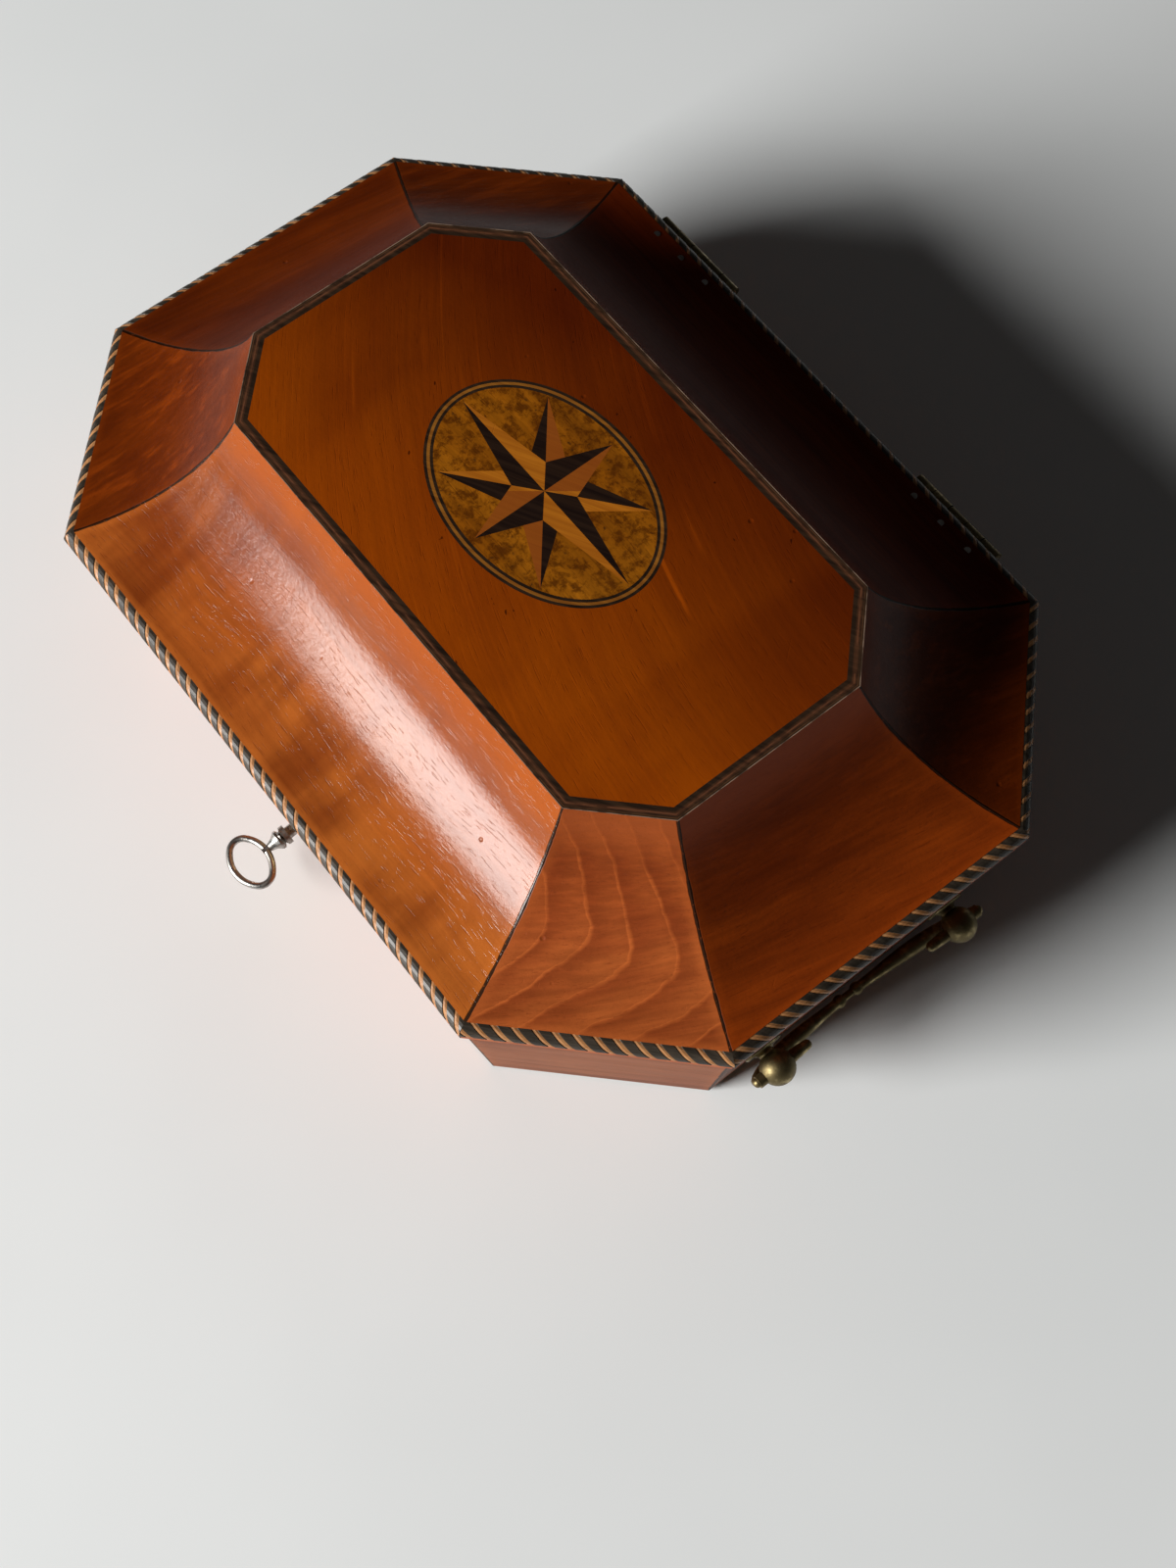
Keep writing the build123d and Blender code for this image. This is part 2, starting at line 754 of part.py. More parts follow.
bail_outer_half_span = handle_half_span + ball_radius + bail_wire_radius + bail_ball_gap
bail_tip_half_span = handle_half_span - ball_radius - bail_tip_length


def make_post():
    """A ball-headed post on its collar, cross-bored for the bail, with its shank through the wall."""
    profile = Polyline(
        (0, -wall - handle_nut_thickness - handle_shank_proud),
        (handle_shank_radius, -wall - handle_nut_thickness - handle_shank_proud),
        (handle_shank_radius, 0),
        (post_radius, 0),
        (post_radius, rose_thickness),
        (post_radius * 1.5, rose_thickness),
        (post_radius * 1.1, rose_thickness + 0.9),
        (post_radius, ball_stand),
        (0, ball_stand),
        close=True,
    )
    post = revolve(Plane.XZ * make_face(profile), axis=Axis.Z)
    post += Pos(0, 0, ball_stand) * Sphere(ball_radius)
    hole_end = (ball_radius * 2, 0, ball_stand)
    return post - rod((-ball_radius * 2, 0, ball_stand), hole_end, bail_pin_radius + bail_clearance)


def make_rose():
    rose = extrude(Circle(rose_radius), amount=rose_thickness)
    rose = chamfer(rose.faces().sort_by(Axis.Z)[-1].edges(), rose_thickness / 3)
    return rose - Cylinder(post_radius, 4 * rose_thickness)


def make_handle_nut():
    nut = extrude(RegularPolygon(handle_nut_radius, 6), amount=handle_nut_thickness)
    nut -= Cylinder(handle_shank_radius, 4 * handle_nut_thickness)
    return Pos(0, 0, -wall - handle_nut_thickness) * nut


def bail_curve(angle):
    """The bail's middle line, across and down from its pivot line."""
    return bail_outer_half_span * cos(radians(angle)), -bail_drop * sin(radians(angle))


def make_bail():
    """The bail in its own plane: x across, y up, with the pivot line at y 0."""
    last_angle = degrees(acos(bail_bead_offset / bail_outer_half_span))
    sections = []
    for station in range(bail_stations):
        share = station / (bail_stations - 1)
        angle = share * last_angle
        x, y = bail_curve(angle)
        tangent = (-bail_outer_half_span * sin(radians(angle)), -bail_drop * cos(radians(angle)), 0)
        plane = Plane(origin=(x, y, 0), x_dir=(0, 0, 1), z_dir=tangent)
        swell = (bail_grip_radius - bail_wire_radius) * sin(pi * share**bail_swell_bias) ** 2
        sections.append(plane * Circle(bail_wire_radius + swell))
    arm = loft(sections, ruled=True)
    pin_start = (bail_outer_half_span, 0, 0)
    pin_end = (handle_half_span - ball_radius, 0, 0)
    half = arm + rod(pin_start, pin_end, bail_pin_radius)
    tip = (bail_tip_half_span + bail_tip_radius, 0, 0)
    half += rod(pin_end, tip, bail_pin_radius, bail_tip_radius)
    half += Pos(*tip) * Sphere(bail_tip_radius)
    half += Pos(*pin_start) * Sphere(bail_wire_radius)
    bead_height = -sqrt(1 - (bail_bead_offset / bail_outer_half_span) ** 2) * bail_drop
    half += Pos(bail_bead_offset, bead_height, 0) * Sphere(bail_bead_radius)
    half += rod((0, bead_height, 0), (bail_bead_offset, bead_height, 0), bail_wire_radius * 0.8)
    return half + mirror(half, about=Plane.YZ)


def make_handles(nodes):
    """A swinging bail on two ball-headed posts at each end of the box."""
    posts = []
    roses = []
    nuts = []
    for side, wall_name, bail_name in ((RIGHT, "right_wall", "bail_right"), (LEFT, "left_wall", "bail_left")):
        for along in (-handle_half_span, handle_half_span):
            place = wall_plane(side, handle_height, along).location
            posts.append(place * make_post())
            roses.append(place * make_rose())
            nuts.append(place * make_handle_nut())
            nodes[wall_name] -= place * Cylinder(handle_shank_radius, 4 * wall)
        pivot = wall_plane(side, handle_height).location * Pos(0, 0, ball_stand)
        nodes[bail_name] = (pivot * Rot(bail_lean, 0, 0)) * make_bail()
    nodes["handle_posts"] = posts
    nodes["handle_roses"] = roses
    nodes["handle_nuts"] = nuts


# Gears


def gear_face(teeth, module, turn=0.0):
    """An involute wheel's outline, with one tooth at this angle in degrees."""
    pitch = module * teeth / 2
    base = pitch * cos(radians(gear_pressure_angle))
    root = pitch - gear_dedendum * module
    half = (pi * module / 2 - gear_backlash) / (2 * pitch)
    angle = radians(gear_pressure_angle)
    pitch_involute = tan(angle) - angle

    def half_angle(radius):
        flank = acos(min(1.0, base / max(radius, base)))
        return half + pitch_involute - (tan(flank) - flank)

    radii = (root, (root + pitch) / 2, pitch, pitch + gear_addendum * module)
    flank = [(radius, half_angle(radius)) for radius in radii]
    points = []
    for tooth in range(teeth):
        middle = 2 * pi * tooth / teeth + radians(turn)
        tooth_line = [(r, middle - a) for r, a in flank] + [(r, middle + a) for r, a in reversed(flank)]
        points += [(r * cos(a), r * sin(a)) for r, a in tooth_line]
    return face_of(points)


def across(x, y=axis_y, z=axis_z):
    """A plane square to the box's length, with its x along +Y and its y up."""
    return Plane(origin=(x, y, z), x_dir=(0, 1, 0), z_dir=(1, 0, 0))


def x_rod(x_range, y, z, radius):
    return rod((x_range[0], y, z), (x_range[1], y, z), radius)


cylinder_right = cylinder_left + cylinder_length
spring_distance = spring_module * (wheel_teeth + pinion_teeth) / 2
governor_distance = train_module * (wheel_teeth + pinion_teeth) / 2
half_tooth = 180 / pinion_teeth
left_cock_x = (cylinder_left - running_gap - cock_thickness, cylinder_left - running_gap)
great_wheel_right = left_cock_x[0] - bridge_thickness - 4 * running_gap
great_wheel_x = (great_wheel_right - wheel_thickness, great_wheel_right)
cylinder_wheel_x = (cylinder_right, cylinder_right + wheel_thickness)
right_cock_x = (cylinder_wheel_x[1] + running_gap, cylinder_wheel_x[1] + running_gap + cock_thickness)
spring_y = axis_y + spring_distance
governor_y = axis_y + governor_distance


def make_cylinder():
    """The brass cylinder with its steel pins, set in a staggered pattern over the comb's tracks."""
    x_range = (cylinder_left, cylinder_right)
    drum = x_rod(x_range, axis_y, axis_z, cylinder_radius)
    drum -= x_rod(x_range, axis_y, axis_z, arbor_radius)
    pitch = cylinder_length / comb_teeth
    pins = []
    for row in range(pin_rows):
        for column in range(row * 5 % 11, comb_teeth, 11):
            x = cylinder_left + (column + 0.5) * pitch
            turn = 360 * (row + 0.37 * (column % 3)) / pin_rows
            pin = Box(2 * pin_radius, 2 * pin_radius, 2 * pin_height)
            pins.append(Pos(x, axis_y, axis_z) * Rot(turn, 0, 0) * Pos(0, 0, cylinder_radius) * pin)
    return drum.fuse(*pins)


def make_arbor():
    """The cylinder's steel arbor with the pinion that the great wheel drives."""
    half_extra = pinion_extra / 2
    pinion_x = (great_wheel_x[0] - half_extra, great_wheel_x[1] + half_extra)
    thick_x = (left_cock_x[1], right_cock_x[0])
    arbor = x_rod(thick_x, axis_y, axis_z, arbor_radius)
    arbor += x_rod((pinion_x[0], right_cock_x[1] + running_gap), axis_y, axis_z, journal_radius)
    pinion = Plane(across(pinion_x[0]).location) * gear_face(pinion_teeth, spring_module)
    return arbor + extrude(pinion, amount=pinion_x[1] - pinion_x[0])


def make_cylinder_wheel():
    wheel = extrude(across(cylinder_wheel_x[0]) * gear_face(wheel_teeth, train_module), amount=wheel_thickness)
    return wheel - x_rod(cylinder_wheel_x, axis_y, axis_z, arbor_radius)


def bearing(x_range, y, width, bore):
    """An upright bearing from the bedplate with a rounded head, bored for a journal along X."""
    radius = width / 2
    foot = block(x_range, (y - radius, y + radius), (bed_top, axis_z))
    head = x_rod(x_range, y, axis_z, radius)
    return foot + head - x_rod(x_range, y, axis_z, bore)


def make_cylinder_cocks():
    bore = journal_radius + bearing_clearance
    return [bearing(x_range, axis_y, cock_width, bore) for x_range in (left_cock_x, right_cock_x)]


# Comb

comb_tip_y = axis_y - cylinder_radius - pin_height - comb_tip_gap
comb_root_y = comb_tip_y - comb_bass_length
comb_back_y = comb_root_y - comb_heel
comb_x = (cylinder_left - comb_margin, cylinder_right + comb_margin)
comb_z = (axis_z - comb_thickness / 2, axis_z + comb_thickness / 2)


def comb_screw_places():
    step = (comb_x[1] - comb_x[0]) / comb_screws
    return [(comb_x[0] + (index + 0.5) * step, (comb_root_y + comb_back_y) / 2) for index in range(comb_screws)]


def make_comb():
    """The steel comb: one plate sawn into teeth that shorten from the bass to the treble."""
    pitch = cylinder_length / comb_teeth
    points = [(comb_x[0], comb_back_y), (comb_x[0], comb_root_y)]
    for tooth in range(comb_teeth):
        share = tooth / (comb_teeth - 1)
        root = comb_tip_y - comb_bass_length + share * (comb_bass_length - comb_treble_length)
        left = cylinder_left + tooth * pitch + comb_gap / 2
        right = left + pitch - comb_gap
        points += [(left, root), (left, comb_tip_y), (right, comb_tip_y), (right, root)]
    points += [(comb_x[1], comb_tip_y - comb_treble_length), (comb_x[1], comb_back_y)]
    return slab(points, *comb_z)


def make_comb_base():
    """The cast rail under the comb's heel, with a foot on the bedplate."""
    front = comb_back_y
    profile = face_of(
        [
            (front, comb_z[0]),
            (comb_root_y, comb_z[0]),
            (comb_root_y - comb_heel / 4, bed_top + comb_foot),
            (comb_root_y + comb_heel / 4, bed_top),
            (front - comb_heel / 4, bed_top),
            (front, bed_top + comb_foot),
        ]
    )
    return extrude(across(comb_x[0], 0, 0) * profile, amount=comb_x[1] - comb_x[0])


def make_comb_assembly(nodes):
    comb = make_comb()
    base = make_comb_base()
    screws = []
    for x, y in comb_screw_places():
        shank = rod((x, y, comb_z[0] - screw_length), (x, y, comb_z[1]), screw_radius)
        head = rod((x, y, comb_z[1]), (x, y, comb_z[1] + screw_radius), screw_head_radius)
        comb -= shank
        base -= shank
        head_top = Plane(origin=(x, y, comb_z[1] + screw_radius))
        screws.append(slotted(shank + head, head_top, screw_head_radius))
    nodes["comb"] = comb
    nodes["comb_base"] = base
    nodes["comb_screws"] = screws


# Spring barrel, winding arbor, ratchet, click and lever

barrel_x = (great_wheel_x[0] - barrel_length, great_wheel_x[0])
left_bridge_x = (barrel_x[0] - running_gap - bridge_thickness, barrel_x[0] - running_gap)
right_bridge_x = (great_wheel_x[1] + running_gap, great_wheel_x[1] + running_gap + bridge_thickness)
ratchet_x = (left_bridge_x[0] - running_gap - ratchet_thickness, left_bridge_x[0] - running_gap)
lever_x = (ratchet_x[0] - running_gap - lever_thickness, ratchet_x[0] - running_gap)
cap_x = (lever_x[0] - running_gap - arbor_cap_thickness, lever_x[0] - running_gap)


def make_spring_barrel():
    """The barrel for the mainspring, with the great wheel cut on its closed end."""
    bore = winding_arbor_radius + bearing_clearance
    drum = x_rod(barrel_x, spring_y, axis_z, barrel_radius)
    hollow_x = (barrel_x[0] + barrel_wall, barrel_x[1] - barrel_wall)
    drum -= x_rod(hollow_x, spring_y, axis_z, barrel_radius - barrel_wall)
    tooth_turn = 180 + 180 / wheel_teeth
    wheel_plane = across(great_wheel_x[0], spring_y)
    drum += extrude(wheel_plane * gear_face(wheel_teeth, spring_module, tooth_turn), amount=wheel_thickness)
    return drum - x_rod((barrel_x[0], great_wheel_x[1]), spring_y, axis_z, bore)


def make_mainspring():
    """The wound ribbon, as half turns of growing radius, hooked to the barrel's wall."""
    outer = barrel_radius - barrel_wall - bearing_clearance
    inner = winding_arbor_radius + spring_thickness + 4 * running_gap
    halves = 2 * spring_turns
    step = (outer - inner) / halves
    outline_out = []
    outline_in = []
    for half in range(halves):
        centre = (half % 2) * step
        start = (half % 2) * 180
        radius = inner + half * step
        outline_out.append(CenterArc((centre, 0), radius, start, 180))
        outline_in.append(CenterArc((centre, 0), radius - spring_thickness, start, 180))
    edges = outline_out + outline_in
    edges.append(Line(outline_out[0] @ 0, outline_in[0] @ 0))
    edges.append(Line(outline_out[-1] @ 1, outline_in[-1] @ 1))
    middle = (barrel_x[0] + barrel_x[1]) / 2
    return extrude(across(middle, spring_y) * make_face(edges), amount=spring_height / 2, both=True)


def make_bridges():
    """Two uprights that carry the winding arbor on each side of the barrel."""
    bore = winding_arbor_radius + bearing_clearance
    return [bearing(x_range, spring_y, cock_width, bore) for x_range in (left_bridge_x, right_bridge_x)]


def make_winding_arbor():
    """The arbor that the spring winds on, with the ratchet wheel outside the bridge."""
    arbor = x_rod((cap_x[0], right_bridge_x[1] + running_gap), spring_y, axis_z, winding_arbor_radius)
    arbor += x_rod(cap_x, spring_y, axis_z, arbor_cap_radius)
    points = []
    for tooth in range(ratchet_teeth):
        angle = 2 * pi * tooth / ratchet_teeth
        next_angle = 2 * pi * (tooth + ratchet_flank) / ratchet_teeth
        root = ratchet_radius - ratchet_depth
        points.append((root * cos(angle), root * sin(angle)))
        points.append((ratchet_radius * cos(next_angle), ratchet_radius * sin(next_angle)))
    return arbor + extrude(across(ratchet_x[0], spring_y) * face_of(points), amount=ratchet_thickness)


def make_winding_lever():
    """The long hand lever, running forward from the arbor to a round knob."""
    tip_y = -sqrt(lever_length**2 - lever_drop**2)
    plane = across(lever_x[0], spring_y)
    hub = Circle(lever_hub_radius)
    wide, narrow = lever_root_half, lever_tip_half
    arm = face_of([(0, wide), (0, -wide), (tip_y, -lever_drop - narrow), (tip_y, -lever_drop + narrow)])
    end = Pos(tip_y, -lever_drop) * Circle(lever_knob_radius)
    shape = extrude(plane * (hub + arm + end), amount=lever_thickness)
    shape -= x_rod(lever_x, spring_y, axis_z, winding_arbor_radius + bearing_clearance)
    grip_x = (lever_x[0] - 3 * lever_thickness, lever_x[0])
    return shape + x_rod(grip_x, spring_y + tip_y, axis_z - lever_drop, lever_grip_radius)


click_stand = ratchet_radius + click_gap + click_half
click_pivot_y = spring_y + click_stand * cos(click_angle) - click_length * sin(click_angle)
click_pivot_z = axis_z + click_stand * sin(click_angle) + click_length * cos(click_angle)


def click_face():
    """The click's side outline, from its pivot to a nose just clear of the ratchet's teeth."""
    out = (cos(click_angle), sin(click_angle))
    along = (-out[1], out[0])

    def place(outward, along_by):
        from_centre = ratchet_radius + click_gap + outward
        return (
            spring_y + from_centre * out[0] + along_by * along[0],
            axis_z + from_centre * out[1] + along_by * along[1],
        )

    heel = place(click_half, 2 * click_half)
    outline = [place(0, 0), heel, place(0, click_length), place(2 * click_half, click_length), place(2 * click_half, 0)]
    return face_of(outline) + Pos(click_pivot_y, click_pivot_z) * Circle(click_eye_radius)


def make_click(nodes):
    """The click on its own stud, which stands on the barrel's bridge."""
    click = extrude(across(ratchet_x[0], 0, 0) * click_face(), amount=click_thickness)
    click -= x_rod(ratchet_x, click_pivot_y, click_pivot_z, journal_radius + bearing_clearance)
    nodes["click"] = click
    left_bridge = nodes["barrel_bridges"][0]
    arm_y = (spring_y, click_pivot_y + click_arm_half)
    arm_z = (click_pivot_z - click_arm_half, click_pivot_z + click_arm_half)
    left_bridge += block(left_bridge_x, arm_y, arm_z)
    left_bridge += x_rod((ratchet_x[0], left_bridge_x[0]), click_pivot_y, click_pivot_z, journal_radius)
    bore = winding_arbor_radius + bearing_clearance
    nodes["barrel_bridges"][0] = left_bridge - x_rod(left_bridge_x, spring_y, axis_z, bore)


pawl_pivot_y = spring_y - pawl_stand * cos(asin(lever_drop / lever_length))
pawl_pivot_z = axis_z - pawl_stand * lever_drop / lever_length


def make_pawl(nodes):
    """The lever's own pawl, which pushes the ratchet round on the up stroke."""
    out = (cos(pawl_angle), sin(pawl_angle))
    tip = ratchet_radius + click_gap
    nose = (spring_y + tip * out[0], axis_z + tip * out[1])
    back = (nose[0] + click_half * out[0], nose[1] + click_half * out[1])
    step = pawl_eye_radius / 2
    high = (pawl_pivot_y - step, pawl_pivot_z + step)
    low = (pawl_pivot_y + step, pawl_pivot_z - step)
    outline = face_of([nose, back, high, low]) + Pos(pawl_pivot_y, pawl_pivot_z) * Circle(pawl_eye_radius)
    pawl = extrude(across(ratchet_x[0], 0, 0) * outline, amount=click_thickness)
    stud_bore = pawl_stud_radius + bearing_clearance
    nodes["lever_pawl"] = pawl - x_rod(ratchet_x, pawl_pivot_y, pawl_pivot_z, stud_bore)
    nodes["winding_lever"] += x_rod((lever_x[1], ratchet_x[1]), pawl_pivot_y, pawl_pivot_z, pawl_stud_radius)


# Governor

governor_pinion_x = (cylinder_wheel_x[0] - pinion_extra / 2, cylinder_wheel_x[1] + pinion_extra / 2)
near_plate_x = (governor_pinion_x[1] + running_gap, governor_pinion_x[1] + running_gap + governor_plate)
far_plate_x = (near_plate_x[1] + governor_space, near_plate_x[1] + governor_space + governor_plate)
stop_post_x = far_plate_x[1] + stop_post_gap
worm_x = (near_plate_x[1] + far_plate_x[0]) / 2
worm_wheel_pitch = worm_module * worm_wheel_teeth / 2
worm_wheel_tip = worm_wheel_pitch + gear_addendum * worm_module
fly_y = governor_y + worm_wheel_tip + worm_gap + worm_core_radius
vane_bottom = governor_height + running_gap


def make_governor_wheel():
    """The governor's arbor with its pinion and the slanting-toothed wheel that turns the endless screw."""
    pinion_turn = 180 + half_tooth
    arbor = x_rod((governor_pinion_x[0], far_plate_x[1] + running_gap), governor_y, axis_z, journal_radius)
    pinion_plane = across(governor_pinion_x[0], governor_y)
    pinion = gear_face(pinion_teeth, train_module, pinion_turn)
    arbor += extrude(pinion_plane * pinion, amount=governor_pinion_x[1] - governor_pinion_x[0])
    wheel_plane = across(worm_x - wheel_thickness / 2, governor_y)
    wheel = extrude(wheel_plane * gear_face(worm_wheel_teeth, worm_module), amount=wheel_thickness)
    return arbor + wheel


def make_governor_frame():
    """Two plates on a foot, with bearings for the wheel's arbor and for the fly's screw."""
    y_range = (governor_y - cock_width / 2, fly_y + worm_core_radius + screw_seat)
    frame = block((near_plate_x[0], far_plate_x[1]), y_range, (bed_top, bed_top + governor_plate))
    plate = face_of(
        [
            (y_range[0], bed_top),
            (y_range[0], axis_z),
            (governor_y - screw_seat, axis_z + cock_width / 2),
            (fly_y - screw_seat, governor_height),
            (y_range[1], governor_height),
            (y_range[1], bed_top),
        ]
    )
    for x_range in (near_plate_x, far_plate_x):
        frame += extrude(across(x_range[0], 0, 0) * plate, amount=governor_plate)
        frame -= x_rod(x_range, governor_y, axis_z, journal_radius + bearing_clearance)
    bridge_y = (fly_y - screw_seat, y_range[1])
    frame += block((near_plate_x[1], far_plate_x[0]), bridge_y, (governor_height - governor_plate, governor_height))
    hole = rod((worm_x, fly_y, 0), (worm_x, fly_y, lid_top), worm_core_radius + bearing_clearance)
    keep_foot = block((near_plate_x[0], far_plate_x[1]), y_range, (bed_top, bed_top + governor_plate / 2))
    return frame - hole + keep_foot


def make_fly():
    """The endless screw's core with the two-winged fly on top, which brakes the music's speed."""
    bottom = bed_top + governor_plate / 2 + running_gap / 2
    top = vane_bottom + vane_height + running_gap
    screw = rod((worm_x, fly_y, bottom), (worm_x, fly_y, top), worm_core_radius)
    wing_x = (worm_x - vane_half_span, worm_x + vane_half_span)
    wing_y = (fly_y - vane_thickness / 2, fly_y + vane_thickness / 2)
    return screw + block(wing_x, wing_y, (vane_bottom, vane_bottom + vane_height))


def make_stop_lever(nodes):
    """The start and stop lever on its post, reaching back to just beside the fly."""
    arm_z = (stop_height + running_gap / 2, stop_height + running_gap / 2 + stop_thickness)

    def upright(x, y, bottom, top, radius):
        return rod((x, y, bottom), (x, y, top), radius)

    post = upright(stop_post_x, stop_post_y, bed_top, stop_height, stop_post_radius)
    pivot_top = arm_z[1] + running_gap
    nodes["stop_lever_post"] = post + upright(stop_post_x, stop_post_y, stop_height, pivot_top, journal_radius)
    half = stop_arm / 2
    finger_x = worm_x + vane_half_span + stop_vane_gap + half
    knob_y = stop_post_y - stop_front_reach
    arm = slab(
        [
            (stop_post_x - half, knob_y),
            (stop_post_x + half, knob_y),
            (stop_post_x + half, stop_post_y + stop_back_reach),
            (finger_x + half, fly_y),
            (finger_x - half, fly_y),
            (stop_post_x - half, stop_post_y + stop_back_reach),
        ],
        *arm_z,
    )
    arm += upright(stop_post_x, stop_post_y, *arm_z, stop_arm)
    arm += upright(finger_x, fly_y, arm_z[0], arm_z[1] + vane_height / 2, half)
    arm += upright(stop_post_x, knob_y, arm_z[0], arm_z[1] + vane_height / 2, stop_post_radius)
    nodes["stop_lever"] = arm - upright(stop_post_x, stop_post_y, 0, lid_top, journal_radius + bearing_clearance)


# Bedplate


def make_bed(nodes):
    """The bedplate on four feet, screwed down to the base board."""
    x_range = (lever_x[0] - bed_margin, stop_post_x + bed_margin)
    y_range = (comb_back_y - comb_heel / 4 - bed_margin, fly_y + bed_margin + cock_width / 4)
    plate = block(x_range, y_range, (bed_height, bed_top))
    plate = fillet(plate.edges().filter_by(Axis.Z), bed_foot_inset)
    feet = []
    screws = []
    for x in (x_range[0] + bed_foot_inset, x_range[1] - bed_foot_inset):
        for y in (y_range[0] + bed_foot_inset, y_range[1] - bed_foot_inset):
            foot = rod((x, y, floor_height), (x, y, bed_height), bed_foot_radius)
            shank = rod((x, y, floor_height - base_board / 2), (x, y, bed_top), bed_screw_radius)
            head = rod((x, y, bed_top), (x, y, bed_top + bed_screw_radius), 2 * bed_screw_radius)
            plate -= shank
            nodes["base_board"] -= shank
            feet.append(foot - shank)
            head_top = Plane(origin=(x, y, bed_top + bed_screw_radius))
            screws.append(slotted(shank + head, head_top, 2 * bed_screw_radius))
    nodes["bedplate"] = plate
    nodes["bed_feet"] = feet
    nodes["bed_screws"] = screws


def make_movement(nodes):
    make_bed(nodes)
    nodes["cylinder"] = make_cylinder()
    nodes["cylinder_arbor"] = make_arbor()
    nodes["cylinder_wheel"] = make_cylinder_wheel()
    nodes["cylinder_cocks"] = make_cylinder_cocks()
    make_comb_assembly(nodes)
    nodes["spring_barrel"] = make_spring_barrel()
    nodes["mainspring"] = make_mainspring()
    nodes["barrel_bridges"] = make_bridges()
    nodes["winding_arbor"] = make_winding_arbor()
    nodes["winding_lever"] = make_winding_lever()
    make_click(nodes)
    make_pawl(nodes)
    nodes["governor_wheel"] = make_governor_wheel()
    nodes["governor_frame"] = make_governor_frame()
    nodes["fly"] = make_fly()
    make_stop_lever(nodes)


def make_body(nodes):
    walls = [mitred_bar(wall_section(), side) for side in range(8)]
    nodes["front_wall"] = walls[FRONT]
    nodes["back_wall"] = walls[BACK]
    nodes["left_wall"] = walls[LEFT]
    nodes["right_wall"] = walls[RIGHT]
    nodes["corner_walls"] = [walls[side] for side in range(1, 8, 2)]
    nodes["base_board"] = make_base_board()
    nodes["base_baize"] = make_baize()


def main():
    nodes = {}
    make_body(nodes)
    make_lid(nodes)
    make_hinges(nodes)
    make_lock(nodes)
    make_handles(nodes)
    make_movement(nodes)
    os.makedirs("parts", exist_ok=True)
    for name, shape in nodes.items():
        solids = shape if isinstance(shape, list) else [shape]
        pieces = [solid for piece in solids for solid in piece.solids()]
        export_step(pieces[0] if len(pieces) == 1 else Compound(children=pieces), f"parts/{name}.step")


main()
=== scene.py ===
import logging
import math
import random
from dataclasses import dataclass, replace
from enum import Enum
from typing import Sequence, Union

import bmesh
import bpy
from mathutils import Matrix, Vector


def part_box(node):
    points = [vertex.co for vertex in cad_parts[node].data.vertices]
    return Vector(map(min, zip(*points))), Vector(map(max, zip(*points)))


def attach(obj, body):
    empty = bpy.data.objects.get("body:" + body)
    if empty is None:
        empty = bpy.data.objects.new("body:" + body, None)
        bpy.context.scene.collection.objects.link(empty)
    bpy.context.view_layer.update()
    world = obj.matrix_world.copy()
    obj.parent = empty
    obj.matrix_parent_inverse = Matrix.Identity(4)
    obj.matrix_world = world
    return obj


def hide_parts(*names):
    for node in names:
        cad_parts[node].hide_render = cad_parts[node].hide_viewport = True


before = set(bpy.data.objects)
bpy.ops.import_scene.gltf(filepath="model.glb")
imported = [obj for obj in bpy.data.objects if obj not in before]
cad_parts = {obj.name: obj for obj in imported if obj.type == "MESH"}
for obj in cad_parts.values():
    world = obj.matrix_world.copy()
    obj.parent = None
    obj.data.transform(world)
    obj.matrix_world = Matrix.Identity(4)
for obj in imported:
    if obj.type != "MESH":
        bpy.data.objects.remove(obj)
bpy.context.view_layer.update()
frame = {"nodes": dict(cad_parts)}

# An octagonal satinwood box with a coved lid and a cylinder music movement.
# Pieces are built in millimetres and become metres where a mesh is finished. Finishes are in metres.

LOG = logging.getLogger("music_box")
MM = 0.001
Colour = tuple[float, float, float]
Socket = bpy.types.NodeSocket
Feed = Union[Socket, float, int, Sequence[float]]
Stretch = Union[float, Sequence[float]]
Outputs = bpy.types.bpy_prop_collection
Material = bpy.types.Material
Mesh = bmesh.types.BMesh

# The outline of the lid's edge, an oblong with its corners cut off, and the joints on its mitres
HALF_LENGTH, HALF_WIDTH, CORNER_CUT = 150.0, 105.0, 51.8
MITRE = math.pi / 8
JOINT_WIDTH = 0.35

# Three points of the lid's hollow arc, as the offset from the edge and the height, in metres
COVE_TOP, COVE_MIDDLE, COVE_FOOT = (-0.0508, 0.1085), (-0.032639, 0.08587), (0.0, 0.072)


# Wiring of node trees


